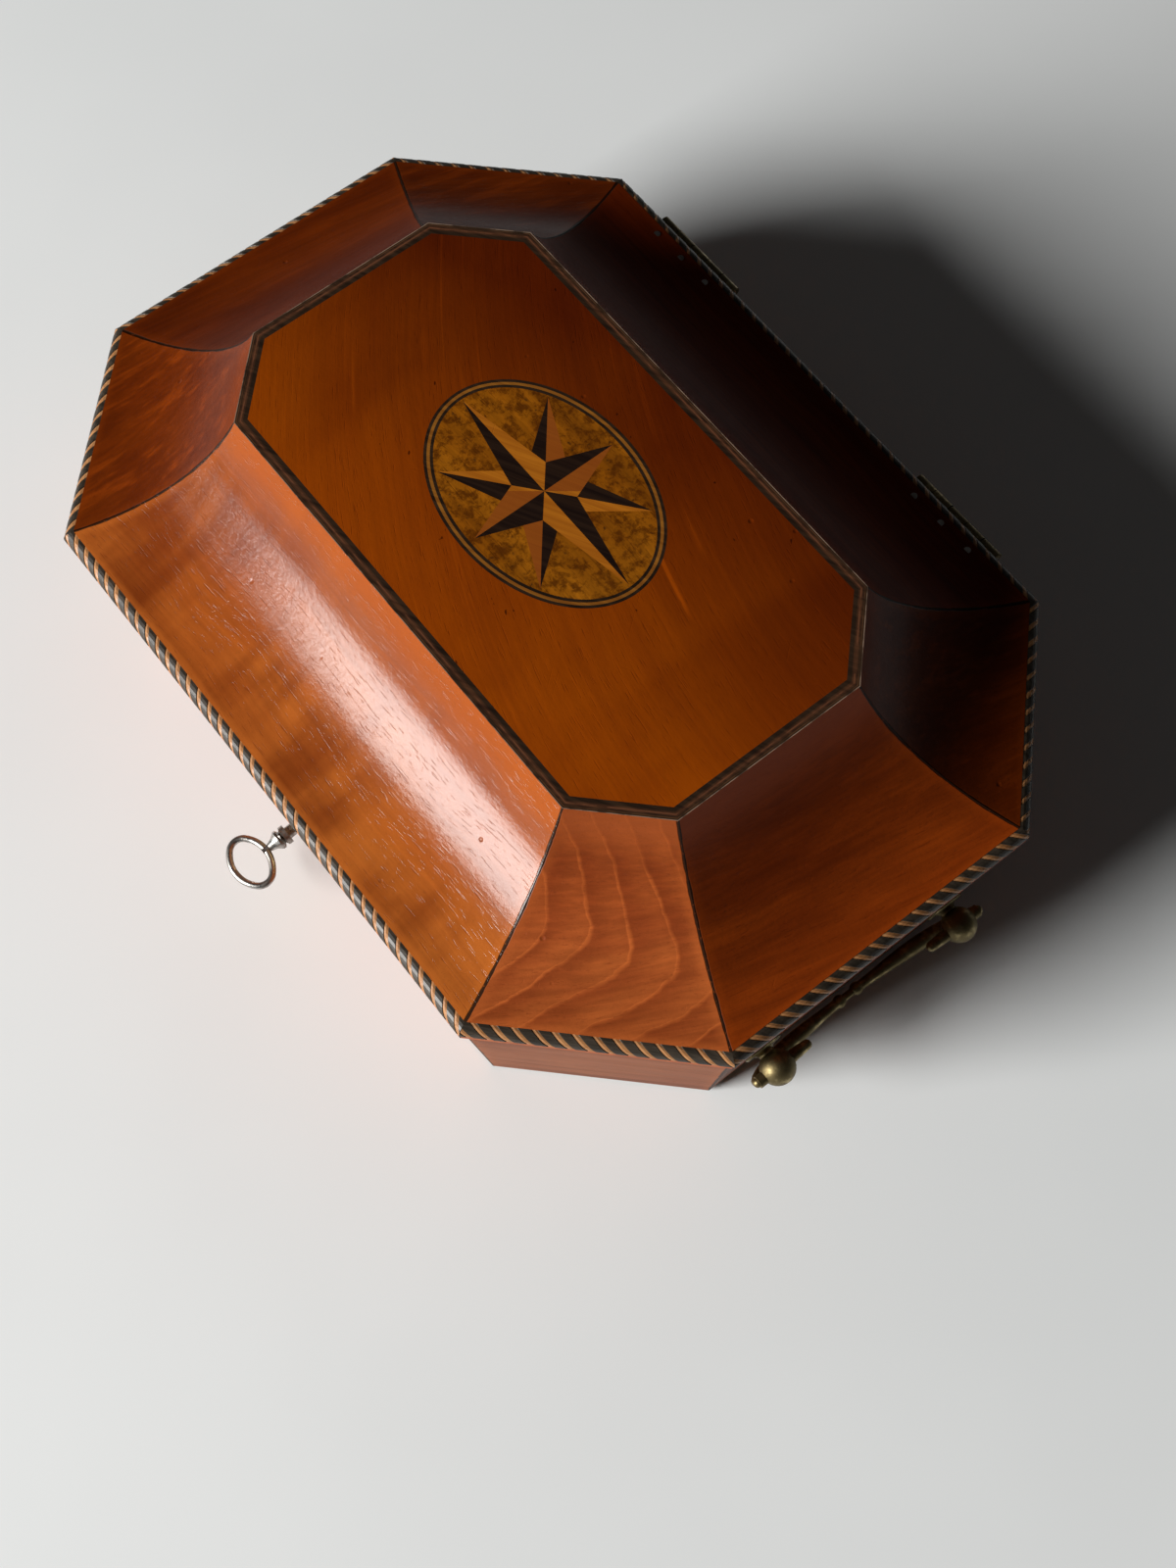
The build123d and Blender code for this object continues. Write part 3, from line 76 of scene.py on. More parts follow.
class Graph:
    """Wires one node tree, for a material or for a shared effect."""

    def __init__(self, tree: bpy.types.NodeTree) -> None:
        """Keeps the tree that is to be wired."""
        self.tree = tree

    def add(self, kind: str, *feeds: Feed, **settings: object) -> bpy.types.Node:
        """Adds a node.

        Args:
            kind: Blender's name for the node's type.
            feeds: what its first inputs get, in their order.
            settings: properties to set on it.

        Returns:
            The new node.
        """
        node = self.tree.nodes.new(kind)
        for name, value in settings.items():
            setattr(node, name, value)
        for socket, value in zip(node.inputs, feeds):
            self.feed(socket, value)
        return node

    def feed(self, socket: Socket, value: Feed) -> None:
        """Links a socket to another, or sets its constant.

        Args:
            socket: the input to fill.
            value: an output socket, a number, a vector or a colour.
        """
        if isinstance(value, bpy.types.NodeSocket):
            self.tree.links.new(value, socket)
        elif socket.type == "RGBA":
            socket.default_value = (*value[:3], 1.0)
        else:
            socket.default_value = value

    def fill(self, node: bpy.types.Node, **inputs: Feed) -> None:
        """Feeds inputs of a node by their labels, with _ for a space."""
        for label, value in inputs.items():
            self.feed(node.inputs[label.replace("_", " ")], value)

    def math(self, operation: str, first: Feed, second: Feed = 0.0, third: Feed = 0.0) -> Socket:
        """Adds a Math node and returns its output."""
        return self.add("ShaderNodeMath", first, second, third, operation=operation).outputs[0]

    def times(self, first: Feed, second: Feed) -> Socket:
        """Multiplies two values."""
        return self.math("MULTIPLY", first, second)

    def plus(self, first: Feed, second: Feed) -> Socket:
        """Adds two values."""
        return self.math("ADD", first, second)

    def less(self, first: Feed, second: Feed) -> Socket:
        """Takes the second value from the first."""
        return self.math("SUBTRACT", first, second)

    def scaled(self, value: Feed, factor: Feed, start: Feed) -> Socket:
        """Multiplies a value and adds it to another."""
        return self.math("MULTIPLY_ADD", value, factor, start)

    def most(self, first: Feed, second: Feed) -> Socket:
        """Picks the greater of two values."""
        return self.math("MAXIMUM", first, second)

    def size(self, value: Feed) -> Socket:
        """Drops a value's sign."""
        return self.math("ABSOLUTE", value)

    def vector(self, operation: str, first: Feed, second: Feed = (0.0, 0.0, 0.0)) -> Socket:
        """Adds a Vector Math node.

        Args:
            operation: Blender's name for the operation.
            first: the first vector.
            second: the second vector.

        Returns:
            The value output of a dot product, length or distance, and else the vector output.
        """
        node = self.add("ShaderNodeVectorMath", first, second, operation=operation)
        scalar = operation in ("DOT_PRODUCT", "LENGTH", "DISTANCE")
        return node.outputs["Value" if scalar else "Vector"]

    def split(self, vector: Feed) -> tuple[Socket, Socket, Socket]:
        """Separates a vector into its three values."""
        return tuple(self.add("ShaderNodeSeparateXYZ", vector).outputs)

    def join(self, x: Feed, y: Feed, z: Feed) -> Socket:
        """Combines three values into a vector."""
        return self.add("ShaderNodeCombineXYZ", x, y, z).outputs[0]

    def turn(self, vector: Feed, angle: Feed) -> Socket:
        """Turns coordinates about Z, so that X runs along a direction at this angle in radians."""
        turned = self.join(0.0, 0.0, self.times(angle, -1.0))
        return self.add("ShaderNodeMapping", vector, (0.0, 0.0, 0.0), turned).outputs[0]

    def noise(self, vector: Feed, stretch: Stretch, detail: float = 2.0, rough: float = 0.5) -> Socket:
        """Adds a Noise texture.

        Args:
            vector: the coordinates in metres.
            stretch: how many features a metre holds, one number or one for each axis.
            detail: the number of finer layers.
            rough: the strength of the finer layers.

        Returns:
            The noise value, from 0 to 1.
        """
        if isinstance(stretch, float):
            stretch = (stretch, stretch, stretch)
        node = self.add("ShaderNodeTexNoise")
        scaled = self.vector("MULTIPLY", vector, stretch)
        self.fill(node, Vector=scaled, Scale=1.0, Detail=detail, Roughness=rough)
        return node.outputs[0]

    def step(
        self, value: Feed, low: float, high: float, start: float = 0.0, end: float = 1.0,
        shape: str = "SMOOTHSTEP",
    ) -> Socket:
        """Maps a value from one range to another and holds it at the ends."""
        node = self.add("ShaderNodeMapRange", value, low, high, start, end, interpolation_type=shape)
        return node.outputs[0]

    def tint(self, colour: Feed, strength: Feed) -> Socket:
        """Makes a colour lighter or darker by a value near 1."""
        return self.mix(1.0, colour, self.join(strength, strength, strength), "MULTIPLY")

    def mix(self, amount: Feed, first: Feed, second: Feed, blend: str = "MIX") -> Socket:
        """Mixes two colours.

        Args:
            amount: 0 for the first, 1 for the second.
            first: a colour or a colour output.
            second: a colour or a colour output.
            blend: Blender's name for the blend.

        Returns:
            The mixed colour.
        """
        node = self.add("ShaderNodeMix", amount, data_type="RGBA", blend_type=blend)
        for socket, colour in zip(node.inputs[6:8], (first, second)):
            self.feed(socket, colour)
        return node.outputs[2]

    def cover(self, colour: Feed, over: Feed, mask: Feed, share: Feed) -> Socket:
        """Lays a second colour over a first, as far as a mask times a share says."""
        return self.mix(self.times(mask, share), colour, over)


class Effect:
    """A shared node group with named inputs and outputs."""

    def __init__(self, name: str, inputs: dict[str, float], outputs: Sequence[str]) -> None:
        """Makes an empty group.

        Args:
            name: the group's name.
            inputs: number inputs and their defaults, besides Vector.
            outputs: the names of its value outputs.
        """
        self.tree = bpy.data.node_groups.new(name, "ShaderNodeTree")
        self.tree.interface.new_socket(name="Vector", in_out="INPUT", socket_type="NodeSocketVector")
        for label, default in inputs.items():
            socket = self.tree.interface.new_socket(name=label, in_out="INPUT", socket_type="NodeSocketFloat")
            socket.default_value = default
        for label in outputs:
            self.tree.interface.new_socket(name=label, in_out="OUTPUT", socket_type="NodeSocketFloat")
        self.graph = Graph(self.tree)
        self.given = self.graph.add("NodeGroupInput").outputs
        self.result = self.graph.add("NodeGroupOutput")

    def place(self, graph: Graph, vector: Feed, **inputs: Feed) -> Outputs:
        """Places the group in a material.

        Args:
            graph: the material's graph.
            vector: the coordinates.
            inputs: values for the other inputs, with _ for a space.

        Returns:
            The placed group's outputs.
        """
        node = graph.add("ShaderNodeGroup", node_tree=self.tree)
        graph.fill(node, Vector=vector, **inputs)
        return node.outputs


class Effects:
    """The effects that more than one finish uses, each built once."""

    def __init__(self) -> None:
        """Builds the groups."""
        grain_ways = {"Angle": 0.0, "Wander": 0.004}
        self.grain = Effect("wood_grain", grain_ways, ("Lines", "Streaks", "Pores", "Clouds"))
        self.octagon = Effect("octagon_joints", {}, ("Offset", "Joint", "Beside Joint"))
        self.age = Effect("old_surface", {}, ("Scratches", "Dents", "Grime", "Speckle"))
        self.wire_grain()
        self.wire_octagon()
        self.wire_age()

    def wire_grain(self) -> None:
        """Grain of straight or wandering lines, with pores and soft clouds."""
        effect, graph = self.grain, self.grain.graph
        turned = graph.turn(effect.given["Vector"], effect.given["Angle"])
        bend = graph.noise(turned, (11.0, 16.0, 16.0), 2.0)
        shift = graph.times(graph.less(bend, 0.5), effect.given["Wander"])
        wandering = graph.vector("ADD", turned, graph.join(0.0, shift, shift))
        pores = graph.noise(wandering, (170.0, 2600.0, 2600.0), 1.0)
        graph.fill(
            effect.result,
            Lines=graph.noise(wandering, (14.0, 620.0, 620.0), 4.0, 0.6),
            Streaks=graph.noise(wandering, (7.0, 110.0, 110.0), 3.0, 0.55),
            Pores=graph.step(pores, 0.62, 0.74),
            Clouds=graph.noise(turned, (13.0, 24.0, 24.0), 3.0, 0.55),
        )

    def wire_octagon(self) -> None:
        """How far a point lies outward of the lid's edge line, and the mitre joints between the sides."""
        effect, graph = self.octagon, self.octagon.graph
        folded = graph.vector("ABSOLUTE", effect.given["Vector"])
        x, y, _ = graph.split(folded)
        half_length, half_width, cut = (size * MM for size in (HALF_LENGTH, HALF_WIDTH, CORNER_CUT))
        front = graph.less(y, half_width)
        right = graph.less(x, half_length)
        slant = math.sqrt(0.5)
        corner = graph.less(graph.times(graph.plus(x, y), slant), slant * (half_length + half_width - cut))
        offset = graph.most(graph.most(front, right), corner)
        distances = []
        for corner_x, corner_y, normal_x, normal_y in (
            (half_length - cut, half_width, math.cos(MITRE), -math.sin(MITRE)),
            (half_length, half_width - cut, math.sin(MITRE), -math.cos(MITRE)),
        ):
            from_corner = graph.vector("SUBTRACT", folded, (corner_x, corner_y, 0.0))
            across = graph.vector("DOT_PRODUCT", from_corner, (normal_x, normal_y, 0.0))
            distances.append(graph.size(across))
        near = graph.math("MINIMUM", *distances)
        wobble = graph.noise(effect.given["Vector"], 170.0, 3.0)
        ragged = graph.scaled(graph.less(wobble, 0.45), -0.0008, near)
        share = graph.math("DIVIDE", ragged, JOINT_WIDTH * MM)
        graph.fill(
            effect.result,
            Offset=offset,
            Joint=graph.step(share, 0.8, 1.5, 1.0, 0.0),
            Beside_Joint=graph.step(share, 2.0, 11.0, 1.0, 0.0),
        )

    def wire_age(self) -> None:
        """Scratches, dents and grime of an old polished surface."""
        effect, graph = self.age, self.age.graph
        given = effect.given["Vector"]
        scratches = 0.0
        for angle, place in ((0.6, 0.0), (-0.9, 0.3)):
            turned = graph.vector("ADD", graph.turn(given, angle), (place, place, 0.0))
            lines = graph.noise(turned, (38.0, 1300.0, 1300.0), 1.0)
            sparse = graph.step(graph.noise(turned, 60.0, 1.0), 0.55, 0.7)
            scratches = graph.most(scratches, graph.times(graph.step(lines, 0.72, 0.78), sparse))
        pits = graph.add("ShaderNodeTexVoronoi")
        graph.fill(pits, Vector=given, Scale=95.0)
        round_pit = graph.step(pits.outputs["Distance"], 0.02, 0.09, 1.0, 0.0)
        chosen = graph.split(pits.outputs["Color"])[0]
        graph.fill(
            effect.result,
            Scratches=scratches,
            Dents=graph.times(round_pit, graph.step(chosen, 0.78, 0.82)),
            Grime=graph.step(graph.noise(given, 42.0, 5.0, 0.65), 0.42, 0.72),
            Speckle=graph.step(graph.noise(given, 900.0, 2.0), 0.6, 0.75),
        )


# Finishes


class Figure(Enum):
    """How a veneer is figured."""

    PLAIN = "plain"
    FLAME = "flame"
    CATHEDRAL = "cathedral"
    CORNERS = "corners"
    TURNED = "turned"
    PANEL = "panel"
    BURR = "burr"


class Back(Enum):
    """Where a veneered piece shows its bare core."""

    NONE = "none"
    WALL = "wall"
    COVE = "cove"


class Surface(Graph):
    """The graph of one material, between its Object coordinates and its shader."""

    def __init__(self, name: str, effects: Union[Effects, None] = None) -> None:
        """Starts the material.

        Args:
            name: the material's name.
            effects: the shared effects, where it uses them.
        """
        self.material = bpy.data.materials.new(name)
        self.material.use_nodes = True
        super().__init__(self.material.node_tree)
        self.effects = effects
        self.shader = self.tree.nodes["Principled BSDF"]
        self.coordinates = self.add("ShaderNodeTexCoord").outputs["Object"]

    def dress(self, **inputs: Feed) -> None:
        """Feeds inputs of the shader."""
        self.fill(self.shader, **inputs)

    def bump(self, height: Socket, strength: float, distance: float) -> None:
        """Feeds a height through a Bump node to the shader's normal.

        Args:
            height: the height, as a share of the distance.
            strength: how strongly it shades.
            distance: how far a height of 1 stands out, in metres.
        """
        node = self.add("ShaderNodeBump")
        self.fill(node, Height=height, Strength=strength, Distance=distance)
        self.dress(Normal=node.outputs[0])


def shade(colour: Colour, share: float) -> Colour:
    """Makes a colour lighter or darker, up to full brightness."""
    return tuple(min(1.0, share * part) for part in colour)


@dataclass(frozen=True)
class Finish:
    """A finish, which builds one material under its name."""

    name: str

    def build(self, effects: Effects) -> Material:
        """Builds the material.

        Args:
            effects: the shared effects.

        Returns:
            The finished material.
        """
        graph = Surface(self.name, effects)
        self.wire(graph)
        return graph.material

    def wire(self, graph: Surface) -> None:
        """Wires the material's nodes. Each kind of finish has its own."""
        raise NotImplementedError


@dataclass(frozen=True)
class TwoTone(Finish):
    """A finish of two colours."""

    light: Colour
    dark: Colour


@dataclass(frozen=True)
class ToneAndShadingRamp:
    """How a veneer's colour changes from one side of a piece to the other. On the panel it is painted sheen,
    lighter at the front and darker at the back; on the front cove it is painted shade, darker on the strip
    towards the panel.

    Attributes:
        across: the direction in plan in which it changes.
        low: the place along that direction where the second colour is full, in metres.
        high: the place where the veneer's own colour is full, in metres.
        colour: the second colour, which multiplies the veneer's own.
    """

    across: tuple[float, float]
    low: float
    high: float
    colour: Colour

    def mask(self, graph: Surface) -> Socket:
        """How much of the second colour each place has.

        Args:
            graph: the material's graph.

        Returns:
            The share, from 0 to 1.
        """
        along = graph.vector("DOT_PRODUCT", graph.coordinates, (*self.across, 0.0))
        wobble = graph.noise(graph.coordinates, 18.0, 2.0)
        spread = 0.35 * (self.high - self.low)
        strayed = graph.scaled(graph.less(wobble, 0.5), spread, along)
        return graph.step(strayed, self.low, self.high, 1.0, 0.0, "LINEAR")


@dataclass(frozen=True)
class Veneer(Finish):
    """A figured, French-polished veneer.

    Attributes:
        light: the palest colour of the wood.
        base: its main colour.
        dark: the colour of its darker figure.
        angle: the direction of the grain in plan, in degrees.
        figure: how it is figured.
        back: where the bare core shows.
        wander: how far the grain lines stray, in metres.
        gloss: the roughness under the polish.
        polish: the weight of the shellac coat.
        shine: the strength of the reflection under the polish.
        tone_and_shading: how the colour changes over the piece, where it does: painted sheen on the panel and
            painted shade on the front cove.
        streaked: the strength of the darker streaks along the grain, from 0 to 1.
    """

    light: Colour
    base: Colour
    dark: Colour
    angle: float = 0.0
    figure: Figure = Figure.PLAIN
    back: Back = Back.NONE
    wander: float = 0.012
    gloss: float = 0.26
    polish: float = 0.05
    shine: float = 0.3
    tone_and_shading: Union[ToneAndShadingRamp, None] = None
    streaked: float = 0.45

    core_light = (0.34, 0.16, 0.065)
    core_dark = (0.20, 0.085, 0.03)
    joint_dark = (0.018, 0.010, 0.006)
    eye_dark = (0.03, 0.012, 0.004)
    coat_rough = 0.17

    # The bend of the panel's grain, as a slope and a curvature
    panel_slope, panel_bow = 0.43, 1.94

    # Offsets from the lid's edge between which the polish is rubbed, in metres
    panel_rub, rope_rub = (-0.0506, -0.0415), (-0.0026, -0.0002)

    # The walls lean, so their outer face lies further in at the foot, and the veneer fades over its thickness
    wall_lean, wall_foot = 0.15361, 0.0087844
    wall_skin, cove_skin, rim_skin = (-0.0016, -0.0010), (0.0014, 0.0020), (-0.0042, -0.0036)

    # The nested rings: direction in plan, place across it, tip radius, number a metre, start and left limit
    ring_axis = (0.833, 0.552)
    ring_middle, ring_round = 0.1108, 0.008
    rings, ring_start, ring_reach = 87.7, -5.71, 0.12

    def wire(self, graph: Surface) -> None:
        """Wires the material's nodes.

        Args:
            graph: the material's graph.
        """
        laid = self.bowed(graph) if self.figure is Figure.PANEL else graph.coordinates
        angle = self.grain_direction(graph)
        grain = graph.effects.grain.place(graph, laid, Angle=angle, Wander=self.wander)
        octagon = graph.effects.octagon.place(graph, graph.coordinates)
        age = graph.effects.age.place(graph, graph.coordinates)
        colour = graph.mix(graph.step(grain["Clouds"], 0.3, 0.7), self.base, self.light)
        colour = graph.cover(colour, self.dark, graph.step(grain["Streaks"], 0.42, 0.72), self.streaked)
        colour = self.figured(graph, laid, colour)
        darkest, palest = 1.0 - 0.31 * self.streaked, 1.0 + 0.22 * self.streaked
        colour = graph.tint(colour, graph.step(grain["Lines"], 0.35, 0.7, darkest, palest))
        colour = graph.cover(colour, self.dark, grain["Pores"], 0.35)
        colour = graph.cover(colour, self.dark, age["Grime"], 0.16)
        colour, joint = self.worn(graph, octagon, age, colour)
        # On the panel and the front cove this is painted sheen and painted shade: a second colour multiplies
        # the veneer's own across the piece.
        if self.tone_and_shading is not None:
            toned_and_shaded = graph.mix(1.0, colour, self.tone_and_shading.colour, "MULTIPLY")
            colour = graph.mix(self.tone_and_shading.mask(graph), colour, toned_and_shaded)
        rough = graph.scaled(grain["Streaks"], 0.12, self.gloss - 0.06)
        coat = graph.scaled(graph.most(age["Scratches"], joint), -self.polish, self.polish)
        bare = self.bare_mask(graph, octagon)
        if bare is not None:
            core = graph.mix(graph.step(grain["Streaks"], 0.3, 0.75), self.core_light, self.core_dark)
            colour = graph.mix(bare, colour, core)
            rough = graph.scaled(bare, 0.3, rough)
            coat = graph.times(coat, graph.less(1.0, bare))
        graph.dress(
            Base_Color=colour, Roughness=rough, Coat_Weight=coat, Coat_Roughness=self.coat_rough,
            Specular_IOR_Level=self.shine,
        )
        ripple = graph.noise(graph.coordinates, 620.0, 3.0, 0.6)
        height = graph.scaled(grain["Lines"], 0.2, graph.times(grain["Pores"], -0.25))
        for mask, depth in ((ripple, 0.32), (age["Scratches"], -0.2), (age["Dents"], -1.2), (joint, -1.6)):
            height = graph.scaled(mask, depth, height)
        graph.bump(height, 0.35, 0.0004)

    def grain_direction(self, graph: Surface) -> Feed:
        """Finds the grain's angle, which differs from corner to corner on the cut corners.

        Args:
            graph: the material's graph.

        Returns:
            The angle in plan, in radians.
        """
        if self.figure not in (Figure.CORNERS, Figure.TURNED):
            return math.radians(self.angle)
        x, y, _ = graph.split(graph.coordinates)
        turned = graph.math("GREATER_THAN", graph.times(x, y), 0.0)
        first, further = (62.0, 18.0) if self.figure is Figure.CORNERS else (self.angle, 90.0)
        return graph.scaled(turned, math.radians(further), math.radians(first))

    def bowed(self, graph: Surface) -> Socket:
        """Bends the panel's grain, which runs lengthwise at the right and turns to the front at the left.

        Args:
            graph: the material's graph.

        Returns:
            The bent coordinates.
        """
        x, y, z = graph.split(graph.coordinates)
        squared = graph.times(graph.times(x, x), -self.panel_bow)
        return graph.join(x, graph.plus(graph.scaled(x, self.panel_slope, y), squared), z)

    def figured(self, graph: Surface, laid: Socket, colour: Socket) -> Socket:
        """Adds the veneer's figure.

        Args:
            graph: the material's graph.
            laid: the Object coordinates, bent where the grain is.
            colour: the colour so far.

        Returns:
            The colour with its figure.
        """
        turned = graph.turn(laid, math.radians(self.angle))
        if self.figure is Figure.FLAME:
            bands = graph.noise(turned, (58.0, 12.0, 12.0), 3.0, 0.5)
            patches = graph.noise(turned, (17.0, 24.0, 24.0), 2.0, 0.5)
            leftward = graph.times(graph.split(laid)[0], -0.9)
            flame = graph.scaled(bands, 0.55, graph.scaled(patches, 0.45, leftward))
            return graph.mix(graph.step(flame, 0.46, 0.66, 0.0, 0.75), colour, self.dark)
        if self.figure is Figure.PANEL:
            cross = graph.noise(turned, (26.0, 7.0, 7.0), 3.0, 0.5)
            colour = graph.mix(graph.step(cross, 0.46, 0.7, 0.0, 0.42), colour, self.dark)
            gold = graph.noise(turned, (5.0, 240.0, 240.0), 2.0, 0.5)
            near = graph.step(graph.noise(turned, (22.0, 30.0, 30.0), 1.0), 0.5, 0.64)
            gold = graph.times(graph.step(gold, 0.6, 0.72, 0.0, 0.75), near)
            colour = graph.mix(gold, colour, shade(self.light, 1.7))
            specks = graph.step(graph.noise(turned, (260.0, 420.0, 420.0), 1.0), 0.79, 0.82, 0.0, 0.85)
            return graph.mix(specks, colour, shade(self.dark, 0.3))
        if self.figure is Figure.CATHEDRAL:
            shadow = graph.step(graph.noise(turned, (11.0, 40.0, 40.0), 3.0, 0.5), 0.45, 0.7, 0.0, 0.5)
            return graph.mix(shadow, colour, self.dark)
        if self.figure is Figure.CORNERS:
            return self.nested(graph, colour)
        if self.figure is Figure.BURR:
            return self.knotted(graph, colour)
        return colour

    def knotted(self, graph: Surface, colour: Socket) -> Socket:
        """Draws the swirls and the eyes of burr wood.

        Args:
            graph: the material's graph.
            colour: the colour so far.

        Returns:
            The knotted colour.
        """
        wobble = graph.noise(graph.coordinates, 240.0, 3.0, 0.6)
        moved = graph.vector("ADD", graph.coordinates, graph.join(graph.times(wobble, 0.004), 0.0, 0.0))
        eyes = graph.add("ShaderNodeTexVoronoi")
        graph.fill(eyes, Vector=moved, Scale=420.0)
        swirl = graph.step(graph.noise(moved, 230.0, 5.0, 0.75), 0.42, 0.62)
        colour = graph.cover(colour, self.dark, swirl, 0.8)
        knot = graph.step(eyes.outputs["Distance"], 0.04, 0.28, 0.75, 0.0)
        chosen = graph.step(graph.split(eyes.outputs["Color"])[0], 0.55, 0.7)
        return graph.cover(colour, self.eye_dark, knot, chosen)

    def nested(self, graph: Surface, colour: Socket) -> Socket:
        """Draws the pale year rings that nest like arrowheads on the near right corner.

        Args:
            graph: the material's graph.
            colour: the colour so far.

        Returns:
            The colour with rings there, and with pale streaks on the other corners.
        """
        x, y, _ = graph.split(graph.coordinates)
        run, rise = self.ring_axis
        along = graph.vector("DOT_PRODUCT", graph.coordinates, (run, rise, 0.0))
        across = graph.vector("DOT_PRODUCT", graph.coordinates, (-rise, run, 0.0))
        aside = graph.plus(across, self.ring_middle)
        bent = graph.math("SQRT", graph.scaled(aside, aside, self.ring_round ** 2))
        wobble = graph.noise(graph.coordinates, 34.0, 4.0, 0.55)
        field = graph.scaled(wobble, 0.013, graph.scaled(bent, 1.05, along))
        ring = graph.math("FRACT", graph.scaled(field, self.rings, self.ring_start))
        near = graph.math("GREATER_THAN", graph.less(x, y), self.ring_reach)
        shadow = graph.step(ring, 0.06, 0.85, 0.62, 0.0)
        colour = graph.cover(colour, self.dark, shadow, near)
        line = graph.plus(graph.step(ring, 0.0, 0.11, 0.5, 0.0), graph.step(ring, 0.95, 1.0, 0.0, 0.5))
        worn = graph.step(graph.noise(graph.coordinates, 60.0, 3.0), 0.3, 0.6, 0.35, 1.0)
        colour = graph.cover(colour, shade(self.light, 1.5), graph.times(line, worn), near)
        turned = graph.turn(graph.coordinates, math.radians(80.0))
        streaks = graph.step(graph.noise(turned, (6.0, 190.0, 190.0), 3.0, 0.6), 0.5, 0.68, 0.0, 0.5)
        return graph.cover(colour, shade(self.light, 1.9), streaks, graph.less(1.0, near))

    def worn(self, graph: Surface, octagon: Outputs, age: Outputs, colour: Socket) -> tuple[Socket, Feed]:
        """Rubs the polish lighter beside the joints and edges and darkens the joints.

        Args:
            graph: the material's graph.
            octagon: the outputs of the joints effect.
            age: the outputs of the old surface effect.
            colour: the colour so far.

        Returns:
            The worn colour and the mask of the open joints.
        """
        if self.back is Back.NONE:
            return colour, 0.0
        rubbed = graph.times(octagon["Beside Joint"], 0.3)
        if self.back is Back.COVE:
            from_panel = graph.step(octagon["Offset"], *self.panel_rub, 0.6, 0.0)
            from_rope = graph.step(octagon["Offset"], *self.rope_rub, 0.0, 0.4)
            rubbed = graph.most(rubbed, graph.most(from_panel, from_rope))
        colour = graph.mix(rubbed, colour, shade(self.light, 1.25))
        colour = graph.cover(colour, self.joint_dark, age["Speckle"], 0.12)
        filled = graph.step(age["Speckle"], 0.0, 0.6, 0.95, 0.55)
        return graph.cover(colour, self.joint_dark, octagon["Joint"], filled), octagon["Joint"]

    def bare_mask(self, graph: Surface, octagon: Outputs) -> Union[Socket, None]:
        """Finds the faces that have no veneer, inside the box or under the lid.

        Args:
            graph: the material's graph.
            octagon: the outputs of the joints effect.

        Returns:
            Their mask, or None where the piece is veneered all round.
        """
        if self.back is Back.NONE:
            return None
        z = graph.split(graph.coordinates)[2]
        if self.back is Back.WALL:
            leaning = graph.scaled(z, -self.wall_lean, self.wall_foot)
            return graph.step(graph.plus(octagon["Offset"], leaning), *self.wall_skin, 1.0, 0.0)
        *centre, radius = cove_circle()
        from_centre = graph.vector("DISTANCE", graph.join(octagon["Offset"], z, 0.0), (*centre, 0.0))
        skin = (radius + depth for depth in self.cove_skin)
        inner = graph.step(octagon["Offset"], *self.rim_skin, 1.0, 0.0)
        return graph.times(graph.step(from_centre, *skin), inner)


def cove_circle() -> tuple[float, float, float]:
    """Finds the circle through the three points of the lid's hollow arc.

    Returns:
        The centre's offset and height and the radius, in metres.
    """
    (ax, ay), (bx, by), (cx, cy) = COVE_TOP, COVE_MIDDLE, COVE_FOOT
    twice = 2 * (ax * (by - cy) + bx * (cy - ay) + cx * (ay - by))
    a, b, c = ax * ax + ay * ay, bx * bx + by * by, cx * cx + cy * cy
    x = (a * (by - cy) + b * (cy - ay) + c * (ay - by)) / twice
    y = (a * (cx - bx) + b * (ax - cx) + c * (bx - ax)) / twice
    return x, y, math.hypot(ax - x, ay - y)


@dataclass(frozen=True)
class Strip:
    """A narrow line of another colour that follows the lid's octagon, with gaps.

    Attributes:
        middle: how far inside the rim its middle lies, as a negative distance in metres.
        width: its width, in metres.
        colour: its colour.
    """

    middle: float
    width: float
    colour: Colour

    def draw(self, graph: Surface, offset: Socket, colour: Socket) -> Socket:
        """Draws the line over a colour.

        Args:
            graph: the material's graph.
            offset: how far a point lies outward of the lid's edge.
            colour: the colour so far.

        Returns:
            The colour with the line.
        """
        away = graph.size(graph.less(offset, self.middle))
        within = graph.step(away, 0.3 * self.width, 0.6 * self.width, 1.0, 0.0)
        gaps = graph.step(graph.noise(graph.coordinates, 160.0, 4.0, 0.6), 0.38, 0.56, 0.15, 1.0)
        return graph.cover(colour, self.colour, within, gaps)


